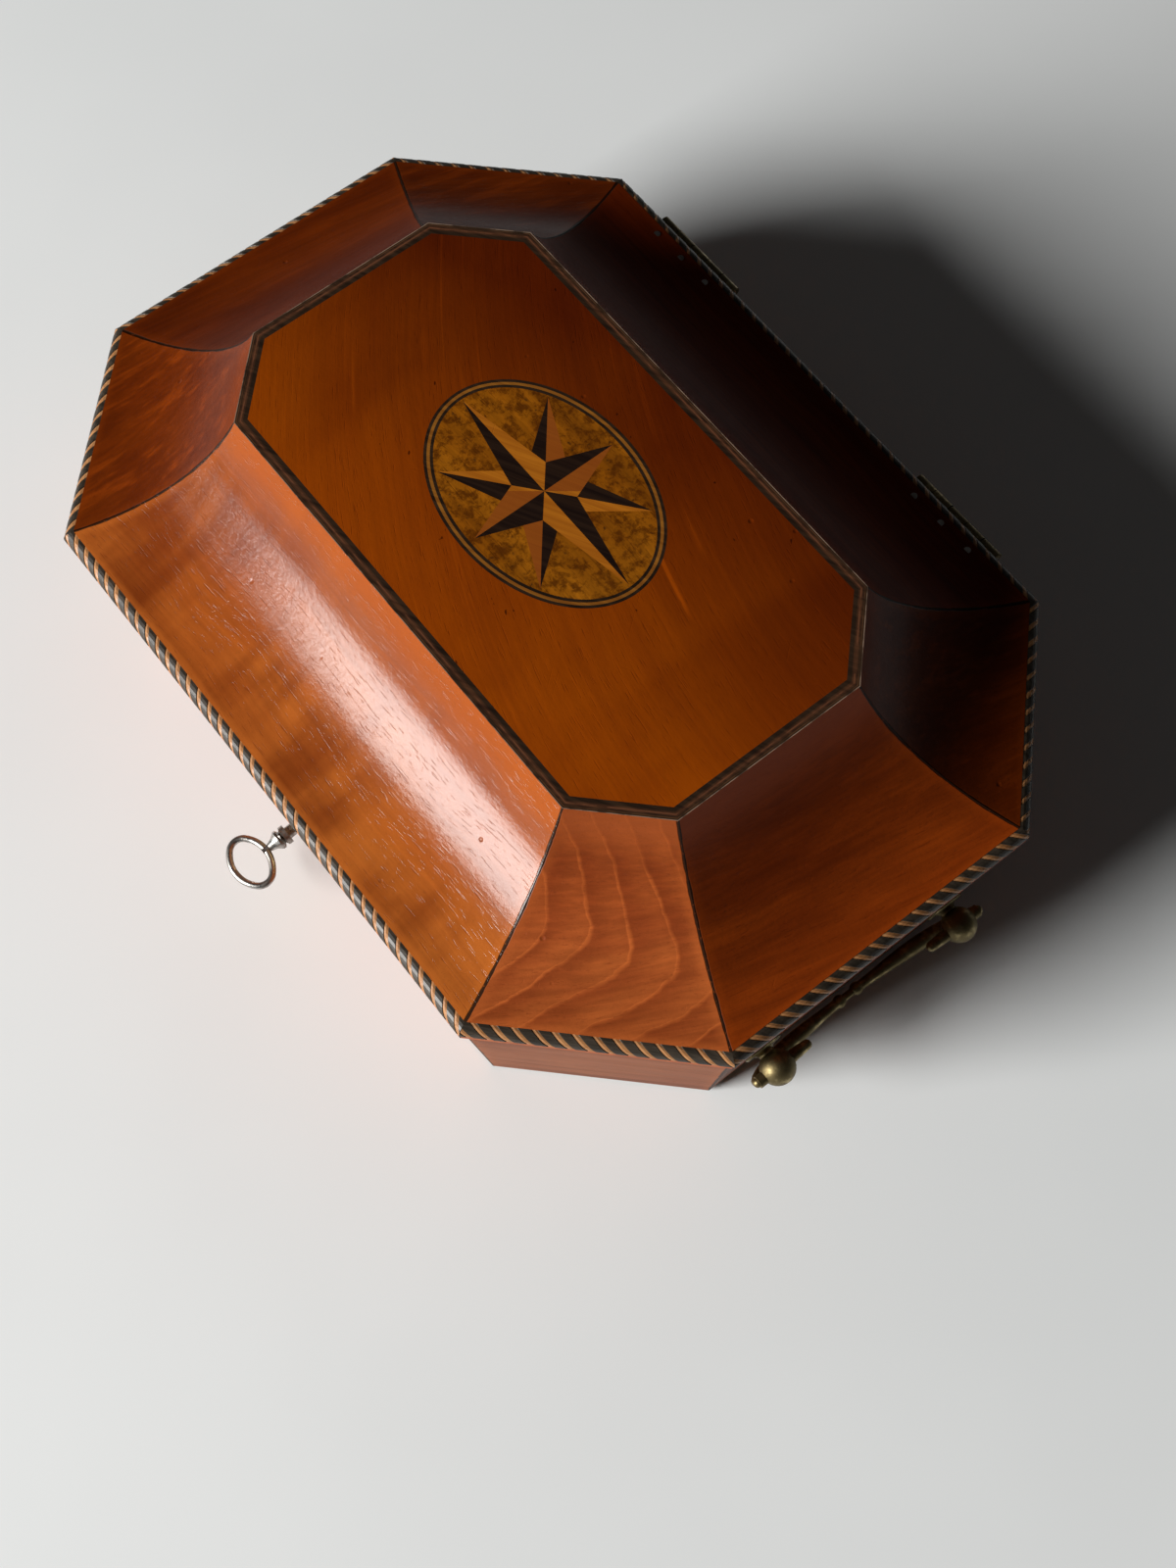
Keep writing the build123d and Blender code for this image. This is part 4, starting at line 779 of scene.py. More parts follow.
@dataclass(frozen=True)
class Inlay(TwoTone):
    """A small piece of plain wood let in, polished with the rest.

    Attributes:
        polish: the weight of the shellac coat.
        gloss: the roughness under the polish.
        shine: the strength of the reflection under the polish.
        by_quarter: a second colour, for the halves that are cut from redder wood.
        strips: the lines of other colours that it has along the lid's octagon.
    """

    polish: float = 0.12
    gloss: float = 0.34
    shine: float = 0.25
    by_quarter: Union[Colour, None] = None
    strips: tuple[Strip, ...] = ()

    star_centre = (-0.0033, 0.0022, 0.0)
    coat_rough = 0.2

    def wire(self, graph: Surface) -> None:
        """Wires the material's nodes.

        Args:
            graph: the material's graph.
        """
        grain = graph.effects.grain.place(graph, graph.coordinates, Angle=0.5, Wander=0.002)
        age = graph.effects.age.place(graph, graph.coordinates)
        colour = graph.mix(graph.step(grain["Lines"], 0.3, 0.7), self.dark, self.light)
        colour = graph.cover(colour, self.dark, grain["Pores"], 0.3)
        if self.by_quarter is not None:
            x, y, _ = graph.split(graph.vector("SUBTRACT", graph.coordinates, self.star_centre))
            wide, tall = graph.size(x), graph.size(y)
            steep = graph.math("GREATER_THAN", tall, graph.times(wide, 0.83))
            falling = graph.math("LESS_THAN", graph.times(x, y), 0.0)
            upright = graph.math("LESS_THAN", wide, graph.times(tall, 0.8))
            redder = graph.most(graph.times(steep, falling), upright)
            colour = graph.cover(colour, self.by_quarter, redder, 0.85)
        colour = graph.cover(colour, self.dark, age["Grime"], 0.25)
        if self.strips:
            offset = graph.effects.octagon.place(graph, graph.coordinates)["Offset"]
            for strip in self.strips:
                colour = strip.draw(graph, offset, colour)
        graph.dress(
            Base_Color=colour, Roughness=graph.scaled(grain["Streaks"], 0.15, self.gloss),
            Coat_Weight=graph.scaled(age["Scratches"], -self.polish, self.polish),
            Coat_Roughness=self.coat_rough, Specular_IOR_Level=self.shine,
        )
        graph.bump(graph.scaled(age["Scratches"], -0.6, grain["Lines"]), 0.25, 0.0003)


@dataclass(frozen=True)
class BareWood(TwoTone):
    """Planed, unpolished wood."""

    def wire(self, graph: Surface) -> None:
        """Wires the material's nodes.

        Args:
            graph: the material's graph.
        """
        grain = graph.effects.grain.place(graph, graph.coordinates, Angle=0.0, Wander=0.02)
        grime = graph.effects.age.place(graph, graph.coordinates)["Grime"]
        colour = graph.mix(graph.step(grain["Streaks"], 0.35, 0.7), self.light, self.dark)
        colour = graph.cover(colour, shade(self.dark, 0.4), grime, 0.35)
        graph.dress(Base_Color=colour, Roughness=graph.scaled(grain["Lines"], 0.2, 0.55))
        graph.bump(grain["Lines"], 0.4, 0.0004)


@dataclass(frozen=True)
class Metal(Finish):
    """A worked metal, bright or tarnished.

    Attributes:
        bright: the clean metal's colour.
        dull: the tarnished colour.
        tarnish: how much of it is tarnished, from 0 to 1.
        rough: its roughness where it is bright.
        brushed: the strength of the fine tool lines.
    """

    bright: Colour
    dull: Colour
    tarnish: float = 0.5
    rough: float = 0.28
    brushed: float = 0.3

    def wire(self, graph: Surface) -> None:
        """Wires the material's nodes.

        Args:
            graph: the material's graph.
        """
        scratches = graph.effects.age.place(graph, graph.coordinates)["Scratches"]
        cloud = graph.noise(graph.coordinates, 240.0, 5.0, 0.65)
        spots = graph.step(graph.noise(graph.coordinates, 950.0, 3.0, 0.6), 0.52, 0.72)
        dulled = graph.step(cloud, 0.62 - 0.5 * self.tarnish, 0.92 - 0.5 * self.tarnish)
        dulled = graph.most(dulled, graph.times(spots, self.tarnish))
        rough = graph.scaled(scratches, 0.15, graph.scaled(dulled, 0.24, self.rough))
        graph.dress(Base_Color=graph.mix(dulled, self.bright, self.dull), Metallic=1.0, Roughness=rough)
        tool = graph.noise(graph.coordinates, (120.0, 3200.0, 3200.0), 2.0)
        graph.bump(graph.scaled(tool, self.brushed, graph.times(spots, -0.5)), 0.25, 0.0002)


@dataclass(frozen=True)
class Cloth(TwoTone):
    """Felted woollen baize."""

    def wire(self, graph: Surface) -> None:
        """Wires the material's nodes.

        Args:
            graph: the material's graph.
        """
        fibres = graph.noise(graph.coordinates, 1500.0, 4.0, 0.7)
        patches = graph.effects.age.place(graph, graph.coordinates)["Grime"]
        colour = graph.mix(graph.step(fibres, 0.35, 0.68), self.dark, self.light)
        colour = graph.cover(colour, self.dark, patches, 0.35)
        rough = graph.step(fibres, 0.2, 0.8, 0.85, 0.98)
        graph.dress(Base_Color=colour, Roughness=rough, Sheen_Weight=0.5)
        graph.bump(fibres, 0.6, 0.0005)


# Pieces made for the scene


def add_object(name: str, data: bpy.types.ID) -> bpy.types.Object:
    """Makes an object and links it to the scene.

    Args:
        name: the object's name.
        data: its mesh, lamp or camera.

    Returns:
        The new object, at the origin.
    """
    made = bpy.data.objects.new(name, data)
    bpy.context.scene.collection.objects.link(made)
    return made


def finish_mesh(mesh_tool: Mesh, name: str, materials: Sequence[Material]) -> bpy.types.Object:
    """Turns a bmesh in millimetres into an object in metres.

    Args:
        mesh_tool: the finished bmesh, which is freed.
        name: the object's name.
        materials: its materials, in the order of the faces' indices.

    Returns:
        The new object, at the origin.
    """
    bmesh.ops.scale(mesh_tool, vec=(MM, MM, MM), verts=mesh_tool.verts)
    bmesh.ops.recalc_face_normals(mesh_tool, faces=mesh_tool.faces)
    mesh = bpy.data.meshes.new(name)
    mesh_tool.to_mesh(mesh)
    mesh_tool.free()
    for material in materials:
        mesh.materials.append(material)
    return add_object(name, mesh)


def outline(mesh_tool: Mesh, points: Sequence[Sequence[float]]) -> tuple[list, list]:
    """Draws a closed line through points, and returns its vertices and edges."""
    verts = [mesh_tool.verts.new(point) for point in points]
    return verts, [mesh_tool.edges.new((verts[index - 1], verts[index])) for index in range(len(verts))]


def harden_edges(mesh_tool: Mesh, angle: float) -> None:
    """Shades the faces smooth, and keeps edges sharp where the surface turns a lot.

    Args:
        mesh_tool: the bmesh.
        angle: the turn from which an edge is sharp, in radians.
    """
    for face in mesh_tool.faces:
        face.smooth = True
    for edge in mesh_tool.edges:
        if len(edge.link_faces) == 2:
            edge.smooth = edge.calc_face_angle(0.0) < angle


@dataclass
class RopeBead:
    """The bead of slanting dark and light blocks that runs round the lid's edge."""

    radius: float = 3.4
    bottom: float = 68.6
    pitch: float = 5.45
    light_run: float = 1.85
    groove_run: float = 0.22
    groove_depth: float = 0.07
    light_depth: float = 0.03
    slant: float = 0.95
    spare: float = 2.2
    jitter: float = 0.22
    wear: float = 0.018
    arc_steps: int = 6
    seed: int = 7

    def corners(self) -> list[tuple[float, float, float]]:
        """Lists the corners of the lid's edge.

        Returns:
            The corners, counterclockwise from the front's left end.
        """
        long, short = (half - CORNER_CUT for half in (HALF_LENGTH, HALF_WIDTH))
        right = [(long, -HALF_WIDTH), (HALF_LENGTH, -short), (HALF_LENGTH, short), (long, HALF_WIDTH)]
        left = [(-x, -y) for x, y in right]
        return [(x, y, 0.0) for x, y in left[-1:] + right + left[:-1]]

    def section(self, bar: Mesh, along: float) -> list[bmesh.types.BMEdge]:
        """Draws the bead's quarter-round section.

        Args:
            bar: the bmesh.
            along: the section's place along the bar.

        Returns:
            The section's edges.
        """
        points = [(along, 0.0, self.bottom)]
        for step in range(self.arc_steps + 1):
            angle = math.pi / 2 * (1 - step / self.arc_steps)
            points.append((along, self.radius * math.cos(angle), self.bottom + self.radius * math.sin(angle)))
        return outline(bar, points)[1]

    def side_bar(self, half: float, chance: random.Random) -> Mesh:
        """Builds one side's run of blocks.

        Args:
            half: half the side's length.
            chance: the seeded source of small irregularities.

        Returns:
            The bar, in its own frame: X along the side, Y outward and Z up.
        """
        bar = bmesh.new()
        margin = self.spare * self.radius + self.pitch
        pitch = 2 * half / round(2 * half / self.pitch)
        along = -half - math.ceil(margin / pitch) * pitch
        edges = self.section(bar, along)
        centre = Matrix.Translation((0.0, 0.0, -self.bottom))
        end = -along
        scale = 1.0
        while along < end:
            jitter = chance.uniform(-self.jitter, self.jitter)
            dark_run = pitch - self.light_run - 2 * self.groove_run + jitter
            swell = 1.0 - chance.uniform(0.0, self.wear)
            stations = (
                (self.groove_run, swell, 0),
                (dark_run, swell, 0),
                (self.groove_run, 1.0 - self.groove_depth, 0),
                (self.light_run / 2, 1.0 - self.light_depth, 1),
                (self.light_run / 2 - jitter, 1.0 - self.groove_depth, 1),
            )
            for run, share, slot in stations:
                made = bmesh.ops.extrude_edge_only(bar, edges=edges)["geom"]
                verts = [item for item in made if isinstance(item, bmesh.types.BMVert)]
                edges = [item for item in made if isinstance(item, bmesh.types.BMEdge)]
                edges = [edge for edge in edges if all(vert in verts for vert in edge.verts)]
                bmesh.ops.translate(bar, vec=(run, 0.0, 0.0), verts=verts)
                along += run
                grow = share / scale
                bmesh.ops.scale(bar, vec=(1.0, grow, grow), space=centre, verts=verts)
                scale = share
                for item in made:
                    if isinstance(item, bmesh.types.BMFace):
                        item.material_index = slot
        self.shear(bar)
        self.mitre(bar, half)
        return bar

    def shear(self, bar: Mesh) -> None:
        """Slants the blocks round the bead, as the strands of a rope lie.

        Args:
            bar: the bar's bmesh.
        """
        for vert in bar.verts:
            outward, up = vert.co.y, vert.co.z - self.bottom
            turn = math.atan2(outward, up) if math.hypot(outward, up) > 0.1 else math.pi / 4
            vert.co.x += self.slant * self.radius * (turn - math.pi / 4)

    def mitre(self, bar: Mesh, half: float) -> None:
        """Cuts both ends on the mitre and closes them.

        Args:
            bar: the bar's bmesh.
            half: half the side's length.
        """
        for sign in (-1, 1):
            normal = Vector((sign * math.cos(MITRE), -math.sin(MITRE), 0.0))
            bmesh.ops.bisect_plane(
                bar, geom=bar.verts[:] + bar.edges[:] + bar.faces[:], plane_co=(sign * half, 0.0, 0.0),
                plane_no=normal, clear_outer=True,
            )
        bmesh.ops.holes_fill(bar, edges=[edge for edge in bar.edges if edge.is_boundary])
        bmesh.ops.dissolve_degenerate(bar, dist=0.001, edges=bar.edges[:])

    def build(self, dark: Material, light: Material) -> bpy.types.Object:
        """Builds the whole bead.

        Args:
            dark: the finish of the dark blocks.
            light: the finish of the light blocks.

        Returns:
            The finished piece.
        """
        chance = random.Random(self.seed)
        whole = bmesh.new()
        corners = self.corners()
        for first, second in zip(corners, corners[1:] + corners[:1]):
            bar = self.side_bar(math.dist(first, second) / 2, chance)
            along = (Vector(second) - Vector(first)).normalized()
            outward = Vector((along.y, -along.x, 0.0))
            place = Matrix((along, outward, Vector((0.0, 0.0, 1.0)))).transposed().to_4x4()
            place.translation = (Vector(first) + Vector(second)) / 2
            bmesh.ops.transform(bar, matrix=place, verts=bar.verts)
            carrier = bpy.data.meshes.new("rope_side")
            bar.to_mesh(carrier)
            bar.free()
            whole.from_mesh(carrier)
            bpy.data.meshes.remove(carrier)
        for face in whole.faces:
            face.smooth = False
        return finish_mesh(whole, "rope_bead", (dark, light))


@dataclass
class MusicCylinder:
    """The brass cylinder and the steel pins that pluck the comb."""

    axis_y: float = 10.0
    axis_z: float = 38.0
    left: float = -46.0
    length: float = 105.0
    radius: float = 15.0
    bore: float = 2.5
    chamfer: float = 0.4
    line_place: float = 1.1
    line_width: float = 0.5
    line_slope: float = 0.1
    line_depth: float = 0.12
    teeth: int = 42
    tunes: int = 6
    tune_shift: float = 0.37
    pins_per_tooth: int = 27
    beats: int = 128
    quiet_beats: int = 6
    pin_radius: float = 0.2
    pin_taper: float = 0.8
    pin_height: float = 0.9
    pin_sunk: float = 0.2
    pin_sides: int = 6
    drum_steps: int = 96
    sharp: float = math.radians(25)
    seed: int = 11

    def drum(self) -> Mesh:
        """Spins the drum's section, with a turned line near each end.

        Returns:
            The drum round the X axis.
        """
        tool = bmesh.new()
        right = self.left + self.length
        low = self.radius - self.line_depth
        rim = self.radius - self.chamfer
        section = [(self.left, self.bore), (self.left, rim), (self.left + self.chamfer, self.radius)]
        for start in (self.left + self.line_place, right - self.line_place - self.line_width):
            end = start + self.line_width
            section += [(start, self.radius), (start + self.line_slope, low)]
            section += [(end - self.line_slope, low), (end, self.radius)]
        section += [(right - self.chamfer, self.radius), (right, rim), (right, self.bore)]
        verts, edges = outline(tool, [(along, 0.0, height) for along, height in section])
        bmesh.ops.spin(
            tool, geom=verts + edges, cent=(0.0, 0.0, 0.0), axis=(1.0, 0.0, 0.0), dvec=(0.0, 0.0, 0.0),
            angle=2 * math.pi, steps=self.drum_steps, use_merge=True, use_duplicate=False,
        )
        bmesh.ops.remove_doubles(tool, verts=tool.verts, dist=0.001)
        bmesh.ops.recalc_face_normals(tool, faces=tool.faces)
        harden_edges(tool, self.sharp)
        return tool

    def notes(self) -> list[tuple[float, float]]:
        """Draws by lot where the pins stand.

        Returns:
            Each pin's place along the drum and its turn round it.
        """
        chance = random.Random(self.seed)
        pitch = self.length / self.teeth
        places = []
        for tooth in range(self.teeth):
            taken = set()
            for _ in range(self.pins_per_tooth):
                tune = chance.randrange(self.tunes)
                beat = chance.randrange(self.quiet_beats, self.beats)
                if (tune, beat) in taken:
                    continue
                taken.add((tune, beat))
                aside = (tune - (self.tunes - 1) / 2) * self.tune_shift
                along = self.left + (tooth + 0.5) * pitch + aside
                places.append((along, 2 * math.pi * beat / self.beats))
        return places

    def build(self, brass: Material, steel: Material) -> bpy.types.Object:
        """Builds the drum and sets its pins.

        Args:
            brass: the drum's finish.
            steel: the pins' finish.

        Returns:
            The finished piece.
        """
        tool = self.drum()
        depth = self.pin_height + self.pin_sunk
        middle = self.radius + self.pin_height - depth / 2
        for along, turn in self.notes():
            place = Matrix.Rotation(turn, 4, "X") @ Matrix.Translation((along, 0.0, middle))
            pin = bmesh.ops.create_cone(
                tool, cap_ends=True, segments=self.pin_sides, radius1=self.pin_radius,
                radius2=self.pin_taper * self.pin_radius, depth=depth, matrix=place,
            )
            for face in {face for vert in pin["verts"] for face in vert.link_faces}:
                face.material_index = 1
        bmesh.ops.translate(tool, vec=(0.0, self.axis_y, self.axis_z), verts=tool.verts)
        return finish_mesh(tool, "pinned_cylinder", (brass, steel))


@dataclass
class Fly:
    """The endless screw with its two-start thread, and the two-winged fly on top of it."""

    core_radius: float = 1.5
    core_sides: int = 32
    root_sunk: float = 0.1
    crest_radius: float = 1.88
    crest_half: float = 0.16
    root_half: float = 0.6
    lead: float = 5.027
    starts: int = 2
    thread_middle: float = 38.0
    turns: float = 2.5
    steps: int = 28
    vane_height: float = 9.0
    vane_thickness: float = 0.55
    vane_corner: float = 2.6
    end_gap: float = 0.6
    sharp: float = math.radians(35)

    def thread(self, tool: Mesh, start: int) -> None:
        """Winds one start of the thread round the core.

        Args:
            tool: the bmesh.
            start: the number of the start.
        """
        low = self.thread_middle - self.lead * self.turns / 2
        root, crest = self.core_radius - self.root_sunk, self.crest_radius
        section = (
            (root, -self.root_half), (crest, -self.crest_half),
            (crest, self.crest_half), (root, self.root_half),
        )
        verts, edges = outline(tool, [(across, 0.0, low + up) for across, up in section])
        turned = Matrix.Rotation(2 * math.pi * start / self.starts, 4, "Z")
        bmesh.ops.transform(tool, matrix=turned, verts=verts)
        bmesh.ops.spin(
            tool, geom=verts + edges, cent=(0.0, 0.0, 0.0), axis=(0.0, 0.0, 1.0),
            dvec=(0.0, 0.0, self.lead / self.steps), angle=2 * math.pi * self.turns,
            steps=round(self.turns * self.steps), use_merge=False, use_duplicate=False,
        )

    def build(self, steel: Material) -> bpy.types.Object:
        """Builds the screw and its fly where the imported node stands.

        Args:
            steel: the finish.

        Returns:
            The finished piece.
        """
        low, high = (Vector(corner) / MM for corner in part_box("fly"))
        middle, span = (low + high) / 2, high.x - low.x
        tool = bmesh.new()
        for start in range(self.starts):
            self.thread(tool, start)
        bmesh.ops.holes_fill(tool, edges=[edge for edge in tool.edges if edge.is_boundary])
        rod = Matrix.Translation((0.0, 0.0, (low.z + high.z) / 2))
        bmesh.ops.create_cone(
            tool, cap_ends=True, segments=self.core_sides, radius1=self.core_radius,
            radius2=self.core_radius, depth=high.z - low.z, matrix=rod,
        )
        vane_middle = high.z - self.end_gap - self.vane_height / 2
        size = Matrix.Diagonal((span, self.vane_thickness, self.vane_height, 1.0))
        place = Matrix.Translation((0.0, 0.0, vane_middle)) @ size
        vane = bmesh.ops.create_cube(tool, size=1.0, matrix=place)
        corners = {
            edge for vert in vane["verts"] for edge in vert.link_edges
            if abs((edge.verts[0].co - edge.verts[1].co).normalized().y) > 0.9
        }
        bmesh.ops.bevel(
            tool, geom=list(corners), offset=self.vane_corner, segments=5, profile=0.5, affect="EDGES",
            material=-1,
        )
        harden_edges(tool, self.sharp)
        bmesh.ops.translate(tool, vec=(middle.x, middle.y, 0.0), verts=tool.verts)
        return finish_mesh(tool, "fly_and_screw", (steel,))


# The setting


@dataclass(frozen=True)
class View:
    """The photograph's camera, fitted to the lid's edges, panel and star."""

    place: tuple[float, float, float] = (261.367, -188.493, 649.130)
    forward: tuple[float, float, float] = (-0.31466633, 0.24453206, -0.91716366)
    up: tuple[float, float, float] = (-0.71958983, 0.5686726, 0.39849962)
    right: tuple[float, float, float] = (0.61901177, 0.78537605, -0.00297934)
    lens: float = 50.43
    sensor: float = 36.0
    nearest: float = 0.01

    def build(self) -> None:
        """Makes the camera the scene's own."""
        data = bpy.data.cameras.new("camera")
        data.lens = self.lens
        data.sensor_width = self.sensor
        data.clip_start = self.nearest
        camera = add_object("camera", data)
        back = -Vector(self.forward)
        turned = Matrix((Vector(self.right), Vector(self.up), back)).transposed().to_4x4()
        turned.translation = Vector(self.place) * MM
        camera.matrix_world = turned
        bpy.context.scene.camera = camera


@dataclass(frozen=True)
class Studio:
    """A pale table and the soft light of one large window, with a little light from all round."""

    window_from: tuple[float, float, float] = (-0.2411, -0.9013, 0.36)
    window_distance: float = 3.52
    window_size: tuple[float, float] = (1.54, 1.66)
    window_power: float = 268.0
    window_colour: Colour = (1.0, 0.985, 0.96)
    aim_height: float = 0.06
    fill: float = 0.021
    fill_colour: Colour = (1.0, 0.95, 0.92)
    table: Colour = (0.835, 0.862, 0.872)
    table_half: float = 4000.0

    def build(self) -> None:
        """Adds the floor, the lamp and the world."""
        self.add_floor()
        self.add_window()
        self.add_world()
        bpy.context.scene.view_settings.view_transform = "Standard"

    def add_floor(self) -> None:
        """Adds the floor as a large flat sheet under the box."""
        sheet = bmesh.new()
        bmesh.ops.create_grid(sheet, x_segments=1, y_segments=1, size=self.table_half)
        graph = Surface("table_white")
        faint = graph.noise(graph.coordinates, 7.0, 3.0, 0.5)
        colour = graph.mix(graph.step(faint, 0.3, 0.7), self.table, shade(self.table, 0.97))
        rough = graph.step(faint, 0.3, 0.7, 0.86, 0.92)
        graph.dress(Base_Color=colour, Roughness=rough, Specular_IOR_Level=0.08)
        floor = finish_mesh(sheet, "table_top", (graph.material,))

    def add_window(self) -> None:
        """Adds the window's light, aimed at the lid."""
        lamp = bpy.data.lights.new("window", "AREA")
        lamp.shape = "RECTANGLE"
        lamp.size, lamp.size_y = self.window_size
        lamp.energy = self.window_power
        lamp.color = self.window_colour
        light = add_object("window", lamp)
        direction = Vector(self.window_from).normalized()
        light.matrix_world = direction.to_track_quat("Z", "Y").to_matrix().to_4x4()
        light.location = direction * self.window_distance + Vector((0.0, 0.0, self.aim_height))

    def add_world(self) -> None:
        """Sets the even light from all round."""
        world = bpy.data.worlds.new("room")
        bpy.context.scene.world = world
        world.use_nodes = True
        background = world.node_tree.nodes["Background"]
        background.inputs["Color"].default_value = (*self.fill_colour, 1.0)
        background.inputs["Strength"].default_value = self.fill


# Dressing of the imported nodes


class Dressing:
    """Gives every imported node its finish."""

    def __init__(self, effects: Effects) -> None:
        """Builds the finishes.

        Args:
            effects: the shared effects.
        """
        wall = Veneer(
            "wall_veneer", (0.27, 0.078, 0.022), (0.20, 0.050, 0.012), (0.11, 0.024, 0.006),
            back=Back.WALL, gloss=0.45, polish=0.0, shine=0.08,
        )
        finishes = (
            Veneer(
                "front_veneer", (0.37, 0.098, 0.0150), (0.29, 0.064, 0.009), (0.115, 0.017, 0.0025),
                figure=Figure.FLAME, back=Back.COVE, gloss=0.18, polish=0.03, shine=0.2, streaked=0.25,
                # Painted shade: this ramp darkens the front cove's upper strip, towards the panel, and leaves
                # the lower strip its own colour.
                tone_and_shading=ToneAndShadingRamp((0.0, -1.0), 0.056, 0.092, (0.66, 0.5, 0.06)),
            ),
            Veneer(
                "back_veneer", (0.15, 0.020, 0.0012), (0.11, 0.012, 0.0008), (0.05, 0.005, 0.0004),
                back=Back.COVE, gloss=0.5, polish=0.0, shine=0.035,
            ),
            Veneer(
                "left_veneer", (0.118, 0.018, 0.0006), (0.09, 0.0115, 0.0003), (0.045, 0.005, 0.0002),
                78.0, Figure.CATHEDRAL, Back.COVE, gloss=0.5, polish=0.0, shine=0.06,
            ),
            Veneer(
                "right_veneer", (0.29, 0.046, 0.003), (0.205, 0.029, 0.002), (0.105, 0.013, 0.001),
                78.0, Figure.CATHEDRAL, Back.COVE, gloss=0.4, polish=0.03, shine=0.15,
            ),
            Veneer(
                "corner_veneer", (0.38, 0.092, 0.020), (0.30, 0.063, 0.014), (0.18, 0.031, 0.007),
                45.0, Figure.CORNERS, Back.COVE, gloss=0.36, polish=0.02, shine=0.1,
                tone_and_shading=ToneAndShadingRamp((1.0, -1.0), 0.11, 0.17, (0.31, 0.205, 0.045)),
            ),
            Veneer(
                "panel_veneer", (0.32, 0.060, 0.0006), (0.27, 0.046, 0.0005), (0.16, 0.022, 0.0003),
                figure=Figure.PANEL, wander=0.006, gloss=0.3, polish=0.04, shine=0.2, streaked=0.22,
                # Painted sheen: this ramp leaves the panel lighter at the front and darkens it towards the
                # back.
                tone_and_shading=ToneAndShadingRamp((0.21, -0.978), -0.052, 0.046, (0.30, 0.205, 0.3)),
            ),
            wall,
            replace(wall, name="side_wall_veneer", angle=90.0),
            replace(wall, name="corner_wall_veneer", angle=45.0, figure=Figure.TURNED),
            Veneer(
                "burr_veneer", (0.40, 0.135, 0.006), (0.27, 0.078, 0.0024), (0.065, 0.014, 0.0008),
                figure=Figure.BURR, gloss=0.3, polish=0.04, shine=0.2,
            ),
            Inlay("star_dark", (0.022, 0.010, 0.005), (0.008, 0.003, 0.002)),
            Inlay("star_light", (0.46, 0.150, 0.009), (0.33, 0.095, 0.005), by_quarter=(0.23, 0.052, 0.006)),
            Inlay(
                "dark_line", (0.035, 0.018, 0.009), (0.012, 0.006, 0.003),
                strips=(
                    Strip(-0.0507, 0.0007, (0.30, 0.20, 0.14)), Strip(-0.0515, 0.0004, (0.08, 0.035, 0.015)),
                ),
            ),
            Inlay("oval_line", (0.30, 0.115, 0.014), (0.19, 0.062, 0.007)),
            Inlay(
                "panel_line", (0.075, 0.03, 0.013), (0.026, 0.010, 0.005),
                strips=(Strip(-0.0526, 0.0005, (0.13, 0.048, 0.022)),),
            ),
            Inlay("rope_dark", (0.042, 0.031, 0.021), (0.014, 0.010, 0.006), 0.1, 0.38, 0.32),
            Inlay("rope_light", (0.42, 0.20, 0.080), (0.28, 0.12, 0.042), 0.12),
            BareWood("pine", (0.42, 0.24, 0.10), (0.28, 0.14, 0.05)),
            Metal("old_brass", (0.50, 0.40, 0.20), (0.16, 0.125, 0.06), 0.75, 0.26),
            Metal("movement_brass", (0.70, 0.53, 0.25), (0.40, 0.29, 0.13), 0.4, 0.24, 0.8),
            Metal("steel", (0.50, 0.49, 0.47), (0.22, 0.20, 0.18), 0.5, 0.24),
            Metal("comb_steel", (0.60, 0.60, 0.60), (0.38, 0.37, 0.36), 0.3, 0.25, 1.0),
            Metal("blued_steel", (0.06, 0.08, 0.16), (0.04, 0.045, 0.07), 0.4, 0.22),
            Metal("bronzed_iron", (0.24, 0.17, 0.085), (0.12, 0.09, 0.05), 0.6, 0.42),
            Cloth("baize", (0.03, 0.11, 0.045), (0.012, 0.045, 0.02)),
        )
        self.materials = {finish.name: finish.build(effects) for finish in finishes}

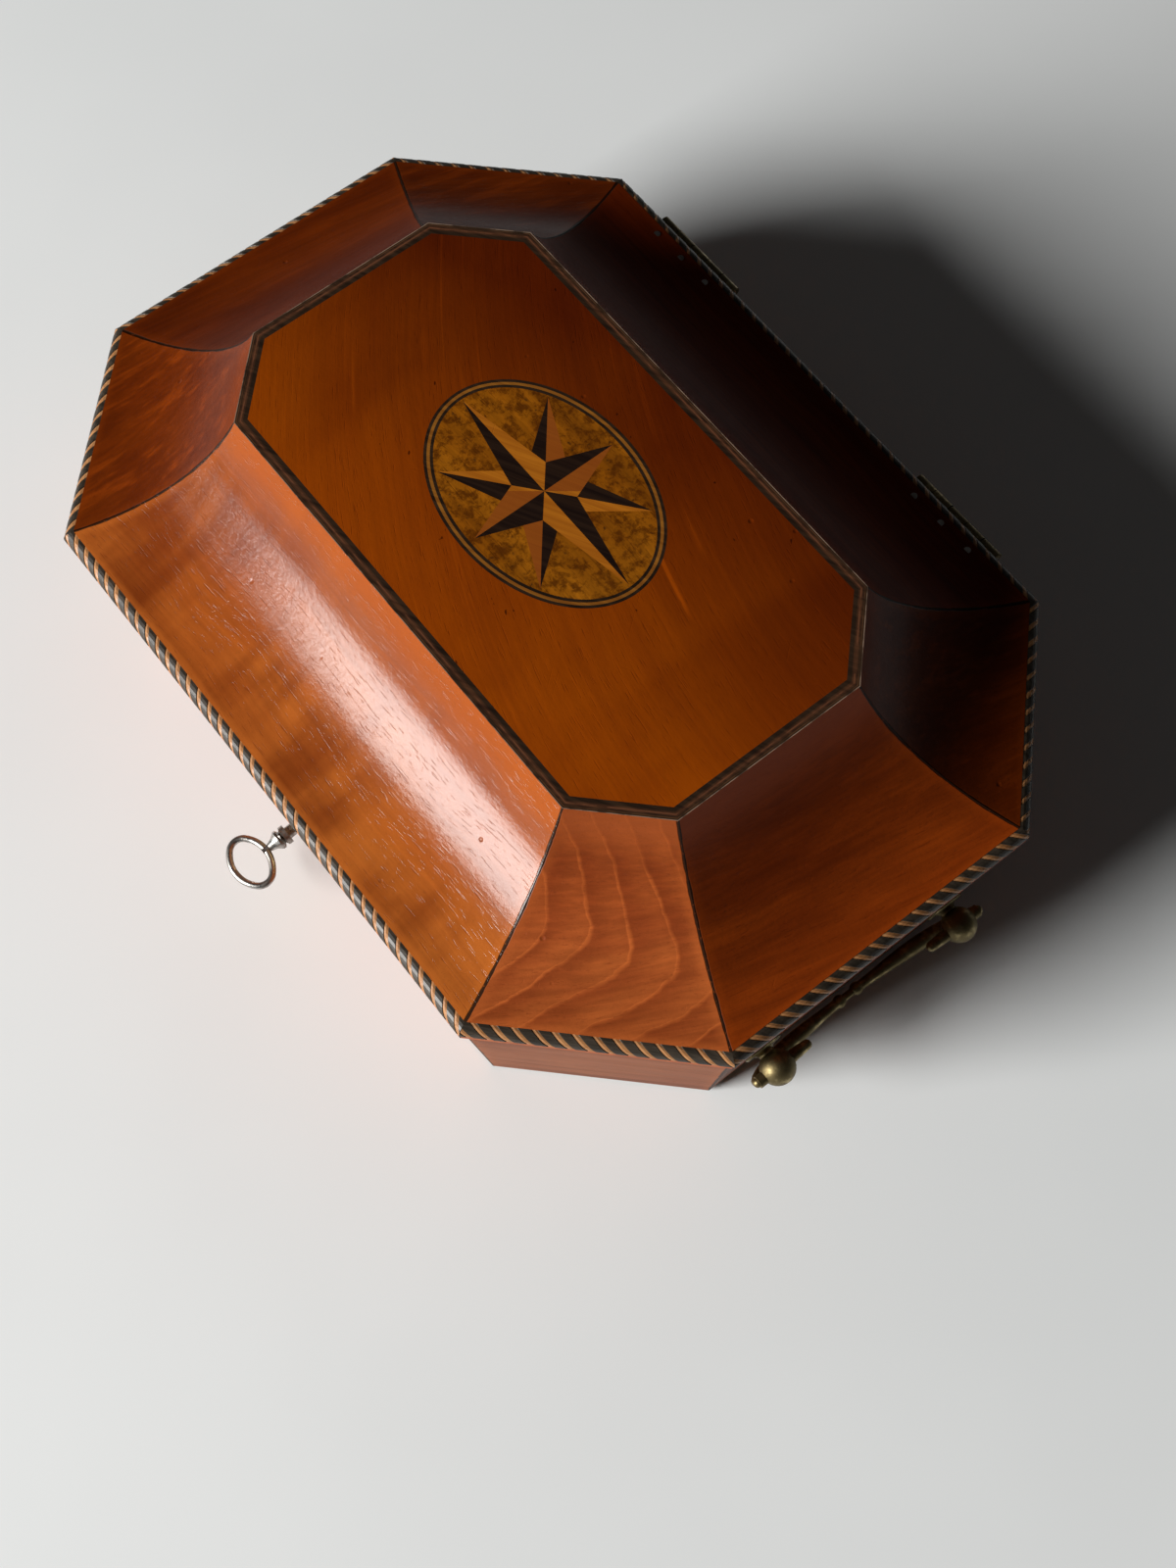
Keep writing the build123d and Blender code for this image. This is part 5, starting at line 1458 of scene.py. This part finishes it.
    nodes_by_finish = {
        "front_veneer": ("lid_front_cove",),
        "back_veneer": ("lid_back_cove",),
        "left_veneer": ("lid_left_cove",),
        "right_veneer": ("lid_right_cove",),
        "corner_veneer": ("lid_corner_coves",),
        "panel_veneer": ("lid_top_veneer",),
        "wall_veneer": ("front_wall", "back_wall"),
        "side_wall_veneer": ("left_wall", "right_wall"),
        "corner_wall_veneer": ("corner_walls",),
        "burr_veneer": ("oval_ground",),
        "star_dark": ("star_dark_halves",),
        "star_light": ("star_light_halves",),
        "dark_line": ("panel_stringing_dark", "oval_stringing_dark"),
        "oval_line": ("oval_stringing_light",),
        "panel_line": ("panel_stringing_light",),
        "rope_dark": ("edge_bead",),
        "pine": ("base_board", "lid_top_board"),
        "old_brass": (
            "escutcheon", "lock_case", "hinge_leaves_case", "hinge_leaves_lid", "handle_posts",
            "handle_roses", "handle_nuts", "bail_right", "bail_left", "lock_link_plate",
        ),
        "movement_brass": (
            "cylinder", "cylinder_wheel", "cylinder_cocks", "spring_barrel", "barrel_bridges",
            "governor_wheel", "governor_frame", "stop_lever", "stop_lever_post", "bed_feet",
        ),
        "steel": (
            "key", "lock_bolt", "lock_screws", "hinge_pins", "hinge_screws_case", "hinge_screws_lid",
            "cylinder_arbor", "winding_arbor", "winding_lever", "lever_pawl", "click", "fly", "bed_screws",
        ),
        "comb_steel": ("comb",),
        "blued_steel": ("mainspring", "comb_screws"),
        "bronzed_iron": ("bedplate", "comb_base"),
        "baize": ("base_baize",),
    }

    def dress(self, nodes: dict[str, bpy.types.Object]) -> None:
        """Assigns the finishes.

        Args:
            nodes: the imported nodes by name.
        """
        dressed = set()
        for finish, names in self.nodes_by_finish.items():
            for name in names:
                piece = nodes[name]
                if not piece.material_slots:
                    piece.data.materials.append(self.materials[finish])
                for slot in piece.material_slots:
                    slot.material = self.materials[finish]
                dressed.add(name)
        plain = sorted(set(nodes) - dressed)
        if plain:
            LOG.warning("nodes with no finish: %s", ", ".join(plain))
        LOG.info("dressed %d nodes", len(dressed))


def main() -> None:
    """Builds the setting, dresses the nodes and adds the scene's own pieces."""
    logging.basicConfig(level=logging.INFO, format="%(name)s: %(message)s")
    View().build()
    Studio().build()
    effects = Effects()
    dressing = Dressing(effects)
    dressing.dress(frame["nodes"])
    materials = dressing.materials
    bead = RopeBead().build(materials["rope_dark"], materials["rope_light"])
    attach(bead, "lid")
    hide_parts("edge_bead")
    LOG.info("rope bead: %d faces", len(bead.data.polygons))
    cylinder = MusicCylinder().build(materials["movement_brass"], materials["steel"])
    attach(cylinder, "music_cylinder")
    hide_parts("cylinder")
    LOG.info("pinned cylinder: %d faces", len(cylinder.data.polygons))
    fly = Fly().build(materials["steel"])
    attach(fly, "fly_body")
    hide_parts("fly")
    LOG.info("fly and screw: %d faces", len(fly.data.polygons))


if __name__ == "__main__":
    main()
